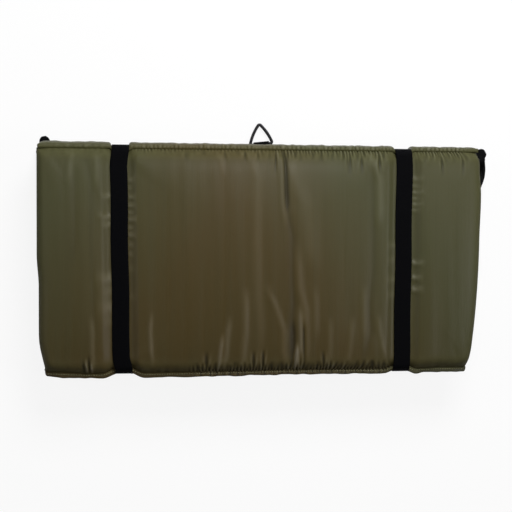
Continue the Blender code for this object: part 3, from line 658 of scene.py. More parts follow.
# Short puckers beside the bands: the band's side, the side of the band, and in millimetres the
# place along it, the height, the half width and how far each reaches from the band.
PUCKERS = (
    (-1, 1, 108.9, 0.7, 2.2, 10), (-1, 1, 98.5, 0.5, 1.8, 7), (-1, 1, 86.6, 0.8, 2.2, 12),
    (-1, 1, 75.5, 0.8, 2, 10), (-1, 1, 65.5, 0.6, 1.8, 8), (-1, 1, 56, 0.9, 2.2, 13),
    (-1, 1, 45, 0.6, 1.8, 8), (-1, 1, 34.5, 0.8, 2.2, 11), (-1, 1, 21, 0.5, 2.2, 8),
    (-1, 1, 8, 0.4, 2.4, 8), (-1, 1, -12, 0.3, 3, 9), (-1, 1, -50, 0.3, 3.4, 10),
    (-1, -1, 88, 0.6, 2.6, 16), (-1, -1, 60.1, 0.7, 2.6, 20), (-1, -1, 49, 0.6, 2.6, 16),
    (-1, -1, -24.8, 0.8, 5, 24), (-1, -1, -42, 0.5, 4.4, 20), (-1, -1, -64, 0.7, 6.2, 24),
    (-1, -1, -83.4, 0.3, 4.4, 18), (1, 1, 111.7, 0.7, 2, 16), (1, 1, 103.3, 0.6, 1.8, 14),
    (1, 1, 95, 0.7, 2, 18), (1, 1, 86.6, 0.6, 1.8, 14), (1, 1, 78.3, 0.7, 2, 16),
    (1, 1, 69.9, 0.5, 2, 14), (1, 1, -4, 0.9, 2.2, 18), (1, 1, -24.8, 0.9, 2.2, 16),
    (1, 1, -41.6, 0.9, 2.4, 18), (1, -1, 21.1, 0.5, 3.2, 18), (1, -1, 1, 0.4, 3, 16),
    (1, -1, -27, 0.5, 3.2, 18), (1, -1, -48, 0.4, 3.4, 16),
)


def band_middle(side, y):
    """The middle of a band where it crosses the face, leaning inward towards the near edge."""
    curl = sum(
        amount * eased((way - start) / over) for amount, way, (start, over)
        in zip(BAND_CURLS[side], (y, -y), (BAND_CURL_FAR, BAND_CURL_NEAR))
    )
    return BAND_TOPS[side] - side * BAND_LEAN * (EDGE_LINE - y) / (2 * EDGE_LINE) + curl


def from_band(x, y):
    """Distance to the middle of the nearer band on the face."""
    return np.minimum(np.abs(x - band_middle(-1, y)), np.abs(x - band_middle(1, y)))


def open_cloth(x, y):
    """0 under a band, easing to 1 on the cloth beside it."""
    return eased((from_band(x, y) - BAND_HALF_WIDTH) / OPEN_REACH)


TOP_GATHERS = np.concatenate([
    plan_gathers(31, [(-0.182, 0.010)], pitch=0.0044, depth=0.0010, weakest=0.6, reach_by=0.65),
    plan_gathers(35, [(0.010, 0.184), (0.214, 0.2925)], pitch=0.0042, depth=0.0015, weakest=0.7,
                 reach_by=1.2),
])
TOP_END_GATHERS = plan_gathers(34, [(-0.296, -0.214)], pitch=0.0075, depth=0.0004)
NEAR_GATHERS = plan_gathers(32, [(-0.103, 0.188)], pitch=0.0045, depth=0.0021, weakest=0.65)
NEAR_GATHERS[:, 4] += np.interp(
    NEAR_GATHERS[:, 0], (0.09, 0.10, 0.145, 0.16, 0.19), (0.0, 0.3, 0.3, -0.3, -0.45)
)
NEAR_END_GATHERS = plan_gathers(33, [(-0.180, -0.115), (0.214, 0.270)], pitch=0.010, depth=0.0003)


def crease_relief(x, y, by_slope=False):
    """The height of the creases at a place of the face, or the height weighed by how steep each is."""
    total = np.zeros_like(x)
    for height, half_width, sharpness, places in CREASES:
        height, half_width = MM * height, MM * half_width
        if by_slope:
            height = height * CREASE_WIDTH / half_width
        line_x, line_y = MM * np.array(places)[::-1].T
        offset = np.abs(x - np.interp(y, line_y, line_x)) / half_width
        start, stop = line_y[0], line_y[-1]
        blend_out = CREASE_FADE + CREASE_FADE_SHARE * (stop - start)
        fade = eased((y - start) / blend_out + 0.5) * eased((stop - y) / blend_out + 0.5)
        total += height * fade * np.exp(-(offset**sharpness) / 2)
    return total


def pucker_relief(x, y):
    """The height of the short puckers that run out from under the bands."""
    total = np.zeros_like(x)
    for band, side, *sizes in PUCKERS:
        place, height, half_width, reach = MM * np.array(sizes)
        away = (x - band_middle(band, y)) * side - BAND_HALF_WIDTH
        rise = np.clip(away / 0.004 + 0.4, 0.0, 1.0) * np.clip(1 - away / reach, 0.0, 1.0)
        fan = half_width * (1 + 0.6 * np.clip(away / reach, 0.0, 1.0))
        total += height * rise * np.exp(-((y - place) ** 2) / (2 * fan**2)) * (away > -0.002)
    return total


def near_spread(x):
    """How far the near stitch line sags out past the panel's edge."""
    spread = np.interp(x, (-0.30, -0.265, -0.245, -0.10, -0.02, 0.03, 0.22, 0.25, 0.30),
                       (0.0052, 0.0070, 0.0082, 0.0080, 0.0072, 0.0064, 0.0070, 0.0056, 0.0060))
    for side, pinch, start, reach in ((-1, 0.85, 0.006, 0.024), (1, 0.50, 0.009, 0.013)):
        away = np.abs(x - band_middle(side, -EDGE_LINE))
        spread = spread * (1 - pinch * (1 - eased((away - start) / reach)))
    return spread


def far_spread(x):
    """How far the far stitch line lies past the panel's edge."""
    pinched = 1 - eased((from_band(x, EDGE_LINE) - 0.010) / 0.006)
    return FAR_SPREAD * (1 - 0.35 * pinched)


def spread_face(x, y):
    """Draw the face's long edges out to their stitch lines and its ends to their outline."""
    far, near = (eased((way - SPREAD_FROM) / (PANEL_HALF_WIDTH - SPREAD_FROM)) for way in (y, -y))
    left_end, right_end = (
        np.clip((way - END_SPREAD_FROM) / END_SPREAD_OVER, 0.0, 1.0) for way in (-x, x)
    )
    # The left end is drawn in towards the near edge. The right end stands out in two places, and its
    # far corner is cut back.
    left_in = 0.0027 * eased((0.010 - y) / 0.045) - 0.0006 + 0.0026 * eased((-0.105 - y) / 0.035)
    right_out = 0.0006 + 0.0020 * eased((0.125 - y) / 0.03) * eased((y - 0.030) / 0.06)
    right_out = right_out + 0.0028 * eased((-0.100 - y) / 0.04) - 0.0054 * eased((y - 0.130) / 0.018)
    return x + left_in * left_end + right_out * right_end, y + far_spread(x) * far - near_spread(x) * near


def cloth_to_settle():
    """A coarse closed cushion of the face's cloth, with the places where it is held."""
    halves = (PANEL_HALF_LENGTH, PANEL_HALF_WIDTH)
    xs, ys = (np.linspace(-half, half, count) for half, count in zip(halves, SETTLE_COUNTS))
    grid_x, grid_y = np.meshgrid(xs, ys)
    fall = edge_fall(PANEL_HALF_LENGTH - np.abs(grid_x)) * edge_fall(PANEL_HALF_WIDTH - np.abs(grid_y))
    from_middle = np.abs(np.abs(grid_x) - BAND_PLACE)
    pressed = FACE_VALLEY * np.exp(-(from_middle / BAND_HALF_WIDTH) ** 4)
    upper = np.stack([grid_x, grid_y, PANEL_HALF_DEPTH * fall - pressed], axis=-1)
    lower = np.stack([grid_x, grid_y, -PANEL_HALF_DEPTH * fall], axis=-1)
    rim = np.zeros(grid_x.shape, dtype=bool)
    rim[[0, -1], :] = True
    rim[:, [0, -1]] = True
    above = np.arange(grid_x.size).reshape(grid_x.shape)
    below = above.copy()
    below[~rim] = grid_x.size + np.arange(np.count_nonzero(~rim))
    places = np.concatenate([upper.reshape(-1, 3), lower[~rim]])
    faces = grid_faces(above) + grid_faces(below, (3, 2, 1, 0))
    held = above[rim | (from_middle < BAND_HALF_WIDTH + 0.002)].tolist() + below[~rim].tolist()
    return xs, ys, places, faces, held


def settle_cloth():
    """Let the cloth fill under a light pressure, and return how far it lifts over a grid."""
    xs, ys, places, faces, held = cloth_to_settle()
    cloth = make_piece("settling_cloth", places, faces)
    cloth.vertex_groups.new(name="held").add(held, 1.0, "REPLACE")
    cloth.shape_key_add(name="sewn")
    longer = places.copy()
    longer[:, 0] *= 1 + CLOTH_SLACK
    cut = cloth.shape_key_add(name="cut")
    cut.data.foreach_set("co", longer.astype(np.float32).ravel())
    modifier = cloth.modifiers.new("settle", "CLOTH")
    for label, value in (
        ("quality", 6), ("mass", 0.15), ("tension_stiffness", 20.0), ("compression_stiffness", 20.0),
        ("shear_stiffness", 6.0), ("bending_stiffness", 0.02), ("tension_damping", 10.0),
        ("compression_damping", 10.0), ("air_damping", 4.0), ("use_pressure", True),
        ("uniform_pressure_force", SETTLE_PRESSURE), ("vertex_group_mass", "held"),
        ("rest_shape_key", cut),
    ):
        setattr(modifier.settings, label, value)
    modifier.settings.effector_weights.gravity = 0.0
    modifier.collision_settings.use_collision = False
    modifier.point_cache.frame_start = 1
    modifier.point_cache.frame_end = SETTLE_FRAMES
    for step in range(1, SETTLE_FRAMES + 1):
        scene.frame_set(step)
    settled = cloth.evaluated_get(bpy.context.evaluated_depsgraph_get())
    after = np.empty(len(places) * 3, dtype=np.float32)
    settled.data.vertices.foreach_get("co", after)
    lifts = (after.reshape(-1, 3) - places)[:xs.size * ys.size, 2].reshape(ys.size, xs.size)
    mesh = cloth.data
    bpy.data.objects.remove(cloth)
    bpy.data.meshes.remove(mesh)
    scene.frame_set(1)
    return xs, ys, np.maximum(lifts * FRONT_CROWN / lifts.max(), -LARGEST_DROP)


def plain_lift(x, y):
    """The plain crown of the foam under the cloth, between the bands and beyond each of them."""
    share = np.where(np.abs(x) < CROWN_INNER, (x + CROWN_INNER) / (2 * CROWN_INNER),
                     (np.abs(x) - CROWN_OUTER) / (PANEL_HALF_LENGTH - CROWN_OUTER))
    from_side = 1 - np.abs(2 * np.clip(share, 0.0, 1.0) - 1)
    return FRONT_CROWN * (1 - (1 - from_side) ** 2.4) * (1 - (y / PANEL_HALF_WIDTH) ** 2)


def settled_lift(x, y):
    """The settled cloth's lift at places of the face."""
    xs, ys, lifts = settled_cloth
    side = np.where(x < 0, -1, 1)
    drawn = drawn_end(side, y) / (PANEL_HALF_LENGTH - PANEL_ROUNDING - DRAWN_FROM)
    beyond = side * (np.abs(x) - drawn * DRAWN_FROM) / (1 - drawn)
    whole = np.where(np.abs(x) > DRAWN_FROM, beyond, x)
    column = np.clip((whole - xs[0]) / (xs[1] - xs[0]), 0.0, xs.size - 1.001)
    row = np.clip((y - ys[0]) / (ys[1] - ys[0]), 0.0, ys.size - 1.001)
    i, j = column.astype(int), row.astype(int)
    u, v = column - i, row - j
    near_row = lifts[j, i] * (1 - u) + lifts[j, i + 1] * u
    far_row = lifts[j + 1, i] * (1 - u) + lifts[j + 1, i + 1] * u
    return SETTLED_SHARE * (near_row * (1 - v) + far_row * v) + (1 - SETTLED_SHARE) * plain_lift(x, y)


settled_cloth = settle_cloth()
face_lift = settled_lift


def soft_fall(distance):
    """A fall towards a stitch line at a finite slope, 1 inside the rounding."""
    return 1 - (1 - np.clip(distance / PANEL_ROUNDING, 0.0, 1.0)) ** 2.2


def edge_gathers(x, y):
    """The gathers along both stitch lines of the face."""
    above, below = PANEL_HALF_WIDTH - y, PANEL_HALF_WIDTH + y
    return open_cloth(x, y) * sum(gather_relief(x, away, gathers) for away, gathers in (
        (above, TOP_GATHERS), (above, TOP_END_GATHERS), (below, NEAR_GATHERS), (below, NEAR_END_GATHERS)
    ))


def long_folds(x, y, by_slope=False):
    """Creases and puckers of the face."""
    _, to_edge = rim_distances(x, y)
    shown = open_cloth(x, y) * inside_rim(x, y, 0.006)
    puckers = pucker_relief(x, y) * np.clip(to_edge / 0.02, 0.0, 1.0)
    return CREASE_GAIN * shown * crease_relief(x, y, by_slope) + PUCKER_GAIN * puckers


def front_rise(x, y):
    """The face's height over its seam."""
    to_end, to_edge = rim_distances(x, y)
    valley = 1 - eased((from_band(x, y) - BAND_HALF_WIDTH) / FACE_SHOULDER)
    fall = edge_fall(to_end, FACE_END_ROUNDING) * soft_fall(to_edge)
    raised = SEAM_RAISE * eased(to_end / RAISED_OVER) * (1 - 0.4 * valley)
    height = raised + (PANEL_HALF_DEPTH - raised) * fall + face_lift(x, y)
    height = height - FACE_VALLEY * valley * soft_fall(to_edge)
    taut = inside_rim(x, y, FACE_END_ROUNDING) * open_cloth(x, y) * streaks(x, y, 41, TAUT_WAVE)
    return height + long_folds(x, y) + edge_gathers(x, y) + taut


def face_folds(x, y):
    """How far the cloth stands in a ridge or a valley, as painted light and shade: sharp ridges are painted
    the lightest.
    """
    return long_folds(x, y, True) / RIDGE_FOR_PAINTED_LIGHT + edge_gathers(x, y) / GATHER_FOR_PAINTED_LIGHT


front_cloth = coated_nylon("olive_nylon_face", sheen_span=(-0.26, 0.15))
front_xs = dense_places(PANEL_HALF_LENGTH, 0.0008, RIM_STEPS)
front_ys = dense_places(PANEL_HALF_WIDTH, 0.0022, RIM_STEPS)
front_cushion = sew_cushion(
    "front_panel_cushion", FRONT_SEAM, front_xs, front_ys, front_rise, pressed_face(42), spread_face,
    face_folds
)
front_cushion.data.materials.append(front_cloth)
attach(front_cushion, "front_panel")
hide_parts("front_cover_lower", "front_cover_upper")


# Foam cores
# A slab of grey closed-cell foam inside each cushion, cut to the panel's shape and held by the
# sewn cloth alone.
FOAM_INSET = 0.004
FOAM_EDGE = 0.010
FOAM_RIM_DEPTH = 0.0002
FOAM_RISE = 0.0088
FOAM_SPACING = 0.012
FOAM_RIM_STEPS = (0.0, 0.0012, 0.0032, 0.0065, 0.0140)

foam_material, foam_tree, foam_shader = new_material("grey_foam")
foam_noise = add_node(foam_tree, "TexVoronoi", {"Vector": own_places(foam_tree), "Scale": 900.0})
cells = foam_noise.outputs["Distance"]
foam_greys = mix_colours(foam_tree, cells, (0.30, 0.30, 0.29), (0.36, 0.36, 0.34))
fill_inputs(foam_tree, foam_shader, {"Base Color": foam_greys, "Roughness": 0.95})
bump_chain(foam_tree, foam_shader, [(cells, 0.0003)])
foam_xs, foam_ys = (
    dense_places(half - FOAM_INSET, FOAM_SPACING, FOAM_RIM_STEPS)
    for half in (PANEL_HALF_LENGTH, PANEL_HALF_WIDTH)
)


def slab_rise(x, y):
    """Half the depth of a foam slab, rounded off at its edges."""
    to_end, to_edge = (distance - FOAM_INSET for distance in rim_distances(x, y))
    return FOAM_RIM_DEPTH + FOAM_RISE * edge_fall(to_end, FOAM_EDGE) * edge_fall(to_edge, FOAM_EDGE)


for panel, seam in (("back", BACK_SEAM), ("middle", MIDDLE_SEAM), ("front", FRONT_SEAM)):
    foam = sew_cushion(f"{panel}_foam_slab", seam, foam_xs, foam_ys, slab_rise, slab_rise)
    foam.data.materials.append(foam_material)
    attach(foam, f"{panel}_panel")
    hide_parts(f"{panel}_foam")


# Fold strips
# Doubled strips of the same nylon, sewn along the long edges of two neighbouring panels. They are
# the mat's hinges: they bulge out round a fold and are gathered along their stitch lines.
STRIP_ROOT = 0.1463
STRIP_FLANGE = 0.002
STRIP_TUCK = -0.0012
STRIP_RUN = 0.052
STRIP_THICKNESS = 0.0016
STRIP_ENDS = {1: (0.0010, 0.0022), -1: (0.0010, 0.0015)}
STRIP_RELIEF_GAIN = 1.4
FACE_LEVEL = 0.088
BAND_PULL = 0.005
PULL_HALF_WIDTH = 0.0115
PULL_SHOULDER = 0.0035
STRIP_WAVE = 0.00055
STRIP_WEAR_REACH = 0.006
HIDDEN_GATHERS = {"spans": [(-0.18, 0.18)], "depth": 0.0004}


def thicken_grid(name, grid, thickness, near, folds):
    """A closed sheet of cloth: the grid is its outer face, and the inner one lies under it."""
    normal = np.cross(np.gradient(grid, axis=0), np.gradient(grid, axis=1))
    normal /= np.linalg.norm(normal, axis=-1, keepdims=True) + 1e-12
    rows, columns = grid.shape[:2]
    index = np.arange(rows * columns).reshape(rows, columns)
    other = index + rows * columns
    faces = grid_faces(index, (0, 3, 2, 1)) + grid_faces(other)
    rim = grid_rim(rows, columns)
    for first, second in zip(rim, rim[1:] + rim[:1]):
        faces.append([index[first], index[second], other[second], other[first]])
    sheet = make_piece(name, np.stack([grid, grid - normal * thickness]), faces)
    mark_cloth(sheet, np.stack([near, near]), np.stack([folds, folds]))
    return sheet


def no_more(x):
    """Nothing added along a strip."""
    return x * 0.0


def sew_fold_strip(name, edge, middle, rise, bulge, seed, upper_gathers,
                   upper_spread=no_more, bulge_more=no_more, upper_lift=0.0):
    """A fold strip along an edge of the mat, curved out between its two seams."""
    y_edge = edge * PANEL_HALF_WIDTH
    left, right = (
        side * (PANEL_HALF_LENGTH - float(drawn_end(side, y_edge)) - short)
        for side, short in zip((-1, 1), STRIP_ENDS[edge])
    )
    quarter = math.pi / 2
    angles = np.concatenate([[quarter] * 2, np.linspace(quarter, -quarter, 25)[1:-1], [-quarter] * 2])
    grid_x, grid_a = np.meshgrid(np.linspace(left, right, 760), angles)
    flange = np.full(grid_x.shape, STRIP_FLANGE)
    flange[[0, -1]] = STRIP_TUCK
    upward = np.clip(np.sin(grid_a), 0.0, 1.0)
    high = upward ** 0.7 * upper_spread(grid_x)

    # Each band pulls the strip in where it runs up the mat's side.
    up_the_side = middle / FACE_LEVEL
    from_pull = np.minimum(*(
        np.abs(grid_x - band_middle(side, y_edge) * up_the_side - side * BAND_PLACE * (1 - up_the_side))
        for side in (-1, 1)
    ))
    pressed = 1 - eased((from_pull - PULL_HALF_WIDTH) / PULL_SHOULDER)
    bulge = bulge + bulge_more(grid_x) * (1 - pressed)

    share = np.broadcast_to(np.linspace(0.0, 1.0, len(angles))[:, None], grid_x.shape)
    from_top = share * STRIP_RUN
    from_low = STRIP_RUN - from_top
    waves = streaks(grid_x, grid_a * 0.02, seed, STRIP_WAVE, shortest=0.010, longest=0.055)
    waves = waves * np.sin(np.pi * share)
    tucked = edge_fall(np.minimum(grid_x - left, right - grid_x), 0.008)
    out = (bulge - BAND_PULL * pressed + waves * (1 - pressed)) * (0.45 + 0.55 * tucked)
    out = np.maximum(out - 0.8 * high, 0.004)
    lower_gathers = plan_gathers(seed + 7, [(-0.18, 0.18)], depth=0.0005)
    relief = sum(gather_relief(grid_x, away, gathers, 0.0003)
                 for away, gathers in ((from_top, upper_gathers), (from_low, lower_gathers)))
    relief = relief * (1 - pressed) * STRIP_RELIEF_GAIN
    y = edge * (STRIP_ROOT + flange + (out + relief) * np.cos(grid_a) + high)
    z = middle + (rise + relief) * np.sin(grid_a) + upward ** 1.5 * upper_lift
    grid = np.stack([grid_x, y, z], axis=-1)
    near = 1 - eased(np.minimum(from_top, from_low) / STRIP_WEAR_REACH)
    # Painted light and shade on the strip's gathers.
    folds = relief / GATHER_FOR_PAINTED_LIGHT
    if edge < 0:
        grid, near, folds = grid[::-1], near[::-1], folds[::-1]
    return thicken_grid(name, grid, STRIP_THICKNESS, near, folds)


def far_bulge(x):
    """The front fold strip stands out more towards the left end."""
    return np.interp(x, (-0.30, -0.05, 0.15, 0.30), (0.0024, 0.0010, 0.0002, -0.0004))


strip_cloth = coated_nylon(
    "olive_nylon_strip", sheen_span=(-0.30, 0.10), shade=1.05, roughness=0.46, shift=14.0
)
top_strip_gathers = np.concatenate([
    plan_gathers(51, [(-0.290, -0.215)], pitch=0.0070, depth=-0.0005, reach_by=0.8),
    plan_gathers(52, [(-0.182, 0.004)], pitch=0.0052, depth=-0.0009, weakest=0.6, reach_by=0.8),
    plan_gathers(53, [(0.004, 0.184), (0.214, 0.2925)], pitch=0.0056, depth=-0.0011, weakest=0.4,
                 reach_by=1.2),
])
front_strip = sew_fold_strip(
    "front_fold_strip_cloth", edge=1, middle=0.0623, rise=0.0153, bulge=0.0125, seed=61,
    upper_gathers=top_strip_gathers, upper_spread=far_spread, bulge_more=far_bulge, upper_lift=SEAM_RAISE
)
front_strip.data.materials.append(strip_cloth)
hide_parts("front_fold_strip")
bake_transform(front_strip)
back_strip = sew_fold_strip(
    "back_fold_strip_cloth", edge=-1, middle=0.031, rise=0.016, bulge=0.0115, seed=71,
    upper_gathers=plan_gathers(72, **HIDDEN_GATHERS)
)
back_strip.data.materials.append(strip_cloth)
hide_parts("back_fold_strip")
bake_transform(back_strip)


# Hems
# The free long edges of the front and back panels: the raw edges are folded in and sewn flat. The
# front hem lies at the near edge of the face, and the back one carries the rings.
HEM_REACH = 0.0086
FRONT_HEM_REACH = 0.0062
HEM_HALF_DEPTH = 0.0013
HEM_TUCK = 0.0012
HEM_FOR_PAINTED_LIGHT = 0.0005
HEM_SHADE = 0.7
HEM_WAVE = 0.00045


def sew_hem(name, edge, seam, ends, seed, gathers, sag=no_more, raise_by=0.0, reach_by=HEM_REACH):
    """A folded hem with a full outer fold, gathered along its stitch line."""
    left, right = ends
    grid_x, grid_t = np.meshgrid(np.linspace(left, right, 740), np.linspace(0.0, math.tau, 25)[:-1])
    from_end = np.minimum(grid_x - left, right - grid_x)
    across = (1 - np.cos(grid_t)) / 2
    full = np.where(across > 0.55, 1.0, 0.80)
    ends_in = edge_fall(from_end, 0.004)
    wave = streaks(grid_x, grid_x * 0.0, seed, HEM_WAVE, shortest=0.012, longest=0.06)
    reach = reach_by * (0.25 + 0.75 * ends_in) + wave * 1.4
    relief = gather_relief(grid_x, across * HEM_REACH * 0.8, gathers, 0.0004)
    y = edge * (STRIP_ROOT - HEM_TUCK + sag(grid_x) + across * (reach + HEM_TUCK))
    side = np.sign(np.sin(grid_t)) * np.abs(np.sin(grid_t)) ** 0.55
    z = seam + raise_by * eased(from_end / RAISED_OVER) + (relief + wave * across) * 0.5
    z = z + side * HEM_HALF_DEPTH * full * (0.45 + 0.55 * ends_in)
    index = np.arange(grid_x.size).reshape(grid_x.shape)
    after = np.roll(index, -1, axis=0)
    order = (index[:, :-1], index[:, 1:], after[:, 1:], after[:, :-1])
    caps = [index[:, 0].tolist(), index[::-1, -1].tolist()]
    if edge < 0:
        order, caps = order[::-1], [cap[::-1] for cap in caps]
    faces = np.stack(order, axis=-1).reshape(-1, 4).tolist() + caps
    hem = make_piece(name, np.stack([grid_x, y, z], axis=-1), faces)
    # Painted light and shade on the gathers, and painted shade darkening the hem's outer fold.
    mark_cloth(hem, 1 - eased(np.abs(across - 0.2) / 0.25), relief / HEM_FOR_PAINTED_LIGHT - HEM_SHADE * across)
    hem.data.materials.append(strip_cloth)
    return hem


front_hem_gathers = plan_gathers(
    81, [(-0.103, 0.188)], pitch=0.0045, depth=-0.0013, weakest=0.6, reach_by=0.8
)
front_hem = sew_hem(
    "front_hem_fold", edge=-1, seam=FRONT_SEAM, ends=(-0.2995, 0.2910), seed=82, gathers=front_hem_gathers,
    sag=near_spread, raise_by=SEAM_RAISE, reach_by=FRONT_HEM_REACH
)
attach(front_hem, "front_panel")
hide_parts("front_hem")
back_hem = sew_hem(
    "back_hem_fold", edge=1, seam=BACK_SEAM, ends=(-0.284, 0.284), seed=83,
    gathers=plan_gathers(84, **HIDDEN_GATHERS)
)
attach(back_hem, "back_panel")
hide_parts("back_hem")


# Stitching
# Lockstitch in thick olive thread, which lies raised on the cloth. Two rows sew the face to its fold
# strip and its hem, and one sews the back hem.
STITCH_SIZE = (0.0034, 0.0026)
TAB_STITCH_SIZE = (0.0026, 0.0020)
THREAD_RADIUS = 0.00045
THREAD_SIDES = 6
UPWARD = np.array([0.0, 0.0, 1.0])


def tube_faces(rings, sides, base=0):
    """Faces of a tube between rings of vertices, closed at both ends."""
    index = base + np.arange(rings * sides).reshape(rings, sides)
    after = np.roll(index, -1, axis=1)
    faces = np.stack([index[:-1], after[:-1], after[1:], index[1:]], axis=-1).reshape(-1, 4).tolist()
    return faces + [index[0, ::-1].tolist(), index[-1].tolist()]


def lay_stitches(name, path, size, thread):
    """Short raised stitches along a path of places, each a small rounded rod."""
    pitch, length = size
    path = np.asarray(path, float)
    run = np.concatenate([[0.0], np.cumsum(np.linalg.norm(np.diff(path, axis=0), axis=1))])
    profile = ((-0.5, 0.25), (-0.38, 0.85), (-0.12, 1.0), (0.12, 1.0), (0.38, 0.85), (0.5, 0.25))
    places, faces = [], []
    for start in np.arange(pitch / 2, run[-1] - pitch / 2, pitch):
        centre, ahead = (
            np.array([np.interp(at, run, path[:, k]) for k in range(3)]) for at in (start, start + 0.001)
        )
        ahead = ahead - centre
        ahead /= np.linalg.norm(ahead) + 1e-12
        side = np.cross(UPWARD, ahead)
        side /= np.linalg.norm(side) + 1e-12
        rise = np.cross(ahead, side)
        faces += tube_faces(len(profile), THREAD_SIDES, len(places))
        for share, full in profile:
            middle = centre + ahead * length * share + rise * THREAD_RADIUS * 0.9 * full
            for angle in np.linspace(0.0, math.tau, THREAD_SIDES + 1)[:-1]:
                offset = side * math.cos(angle) + rise * math.sin(angle)
                places.append((middle + offset * THREAD_RADIUS * full).tolist())
    stitches = make_piece(name, places, faces)
    stitches.data.materials.append(thread)
    return stitches


def thread_material(name, colour):
    """Twisted thread: fine slanted plies that catch the light."""
    material, tree, shader = new_material(name)
    fleck = noise_node(tree, own_places(tree), 1800.0)
    dark, light = (tuple(c * gain for c in colour) for gain in (0.6, 1.4))
    fill_inputs(tree, shader, {"Base Color": mix_colours(tree, fleck, dark, light), "Roughness": 0.6})
    bump_chain(tree, shader, [(fleck, 0.0001)])
    return material


olive_thread = thread_material("olive_thread", (0.165, 0.155, 0.075))
black_thread = thread_material("black_thread", (0.012, 0.012, 0.013))

for name, edge, out, z, left, right, body, piece_slot, spread in (
    ("stitches_face_far", 1, 0.0016, FRONT_SEAM + SEAM_RAISE + 0.0002, -0.300, 0.300, "front_panel",
     "olive_nylon", far_spread),
    ("stitches_face_near", -1, 0.0016, FRONT_SEAM + SEAM_RAISE + 0.0011, -0.296, 0.286, "front_panel",
     "olive_nylon", near_spread),
    ("stitches_back_hem", 1, 0.0022, BACK_SEAM + 0.0010, -0.283, 0.283, "back_panel", "olive_base", no_more),
):
    xs = np.linspace(left, right, 300)
    path = np.stack([xs, edge * (STRIP_ROOT + out + spread(xs)), np.full_like(xs, z)], axis=-1)
    row = lay_stitches(name, path, STITCH_SIZE, olive_thread)
    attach(row, body)


# Centre ring and tab
# A triangle of bent wire, coated black and welded shut, held by a tab of black webbing that is
# folded round its base bar and sewn under the back panel's hem. It lies level on the table.
CENTRE_RING_PLACE = (0.0062, 0.16983, 0.004)
CENTRE_RING_TURN = math.radians(6.0)
CENTRE_RING_SIZE = (0.0352, 0.0312)
CENTRE_BAR_OF = (0.0322, 0.0288)
CENTRE_WIRE_RADIUS = 0.0022
RING_CORNER_ROUND = 0.0026
RING_SIDE_BOW = 0.0012
WIRE_SIDES = 14
WELD_PLACE = 12
WEBBING_THICKNESS = 0.0012
TAB_LAYER = 0.96 * WEBBING_THICKNESS
TAB_SLACK = 0.0003
TAB_STITCH_ROWS = (("near", -0.0012), ("far", 0.0012))


def smooth_run(values, steps, closed=False):
    """More places on a smooth curve through the given ones."""
    values = np.asarray(values, float)
    count = len(values)
    result = []
    for k in range(count if closed else count - 1):
        near = [k + i - 1 for i in range(4)]
        near = [i % count if closed else min(max(i, 0), count - 1) for i in near]
        p, q, r, s = values[near]
        for step in range(steps):
            t = step / steps
            result.append(0.5 * (2 * q + (r - p) * t + (2 * p - 5 * q + 4 * r - s) * t * t
                                 + (3 * q - p - 3 * r + s) * t**3))
    if not closed:
        result.append(values[-1])
    return np.array(result)


def ring_line(width, height):
    """The wire's centre line: a triangle on its base bar, with round corners and bowed sides."""
    left, right, top = np.array([-width / 2, 0.0]), np.array([width / 2, 0.0]), np.array([0.0, height])
    outward = np.array([height, width / 2])
    outward = outward / np.linalg.norm(outward) * RING_SIDE_BOW

    def corner(before, at, after):
        to_before = (before - at) / np.linalg.norm(before - at)
        to_after = (after - at) / np.linalg.norm(after - at)
        half = math.acos(float(to_before @ to_after)) / 2
        middle = to_before + to_after
        centre = at + middle / np.linalg.norm(middle) * (RING_CORNER_ROUND / math.sin(half))
        first, last = (
            at + way * RING_CORNER_ROUND / math.tan(half) - centre for way in (to_before, to_after)
        )
        start = math.atan2(first[1], first[0])
        sweep = (math.atan2(last[1], last[0]) - start + math.pi) % math.tau - math.pi
        return [centre + RING_CORNER_ROUND * np.array([math.cos(angle), math.sin(angle)])
                for angle in start + sweep * np.linspace(0.0, 1.0, 9)]

    def side(start, end, bow):
        shares = np.linspace(0.0, 1.0, 9)[1:-1]
        return [start + (end - start) * s + bow * 4 * s * (1 - s) for s in shares]

    corners = (corner(left, right, top), corner(right, top, left), corner(top, left, right))
    line = []
    for k, bow in enumerate((outward, outward * (-1.0, 1.0), np.zeros(2))):
        line += corners[k] + side(corners[k][-1], corners[(k + 1) % 3][0], bow)
    return np.array(line)


def bend_wire(name, line, radius, place, turn):
    """A round wire along a closed line in a level plane, thickened at its weld."""
    ahead = np.roll(line, -1, axis=0) - np.roll(line, 1, axis=0)
    ahead /= np.linalg.norm(ahead, axis=1, keepdims=True)
    side = np.stack([ahead[:, 1], -ahead[:, 0]], axis=-1)
    places = []
    for k, (at, outward) in enumerate(zip(line, side)):
        swell = radius * (1 + 0.06 * math.exp(-((k - WELD_PLACE) ** 2) / 2.0))
        for angle in np.linspace(0.0, math.tau, WIRE_SIDES + 1)[:-1]:
            x, y = at + outward * swell * math.cos(angle)
            places.append((x * math.cos(turn) - y * math.sin(turn) + place[0],
                           x * math.sin(turn) + y * math.cos(turn) + place[1],
                           place[2] + swell * math.sin(angle)))
    index = np.arange(len(places)).reshape(-1, WIRE_SIDES)
    after = np.roll(index, -1, axis=0)
    faces = np.stack([index, np.roll(index, -1, axis=1), np.roll(after, -1, axis=1), after], axis=-1)
    wire = make_piece(name, places, faces.reshape(-1, 4).tolist())
    wire.data.materials.append(coated_wire)
    return wire


coated_wire, wire_tree, wire_shader = new_material("black_coated_wire")
patina = noise_node(wire_tree, own_places(wire_tree), 260.0, detail=4.0)
scuff = noise_node(wire_tree, own_places(wire_tree), 1100.0, detail=3.0, shift=2.0)
fill_inputs(wire_tree, wire_shader, {
    "Base Color": mix_colours(wire_tree, patina, (0.006, 0.006, 0.007), (0.018, 0.018, 0.020)),
    "Roughness": weighed_sum(wire_tree, 0.26, (scuff, 0.30)),
    "Metallic": 0.10,
    "Specular IOR Level": 0.25,
})
bump_chain(wire_tree, wire_shader, [(patina, 0.00008)])


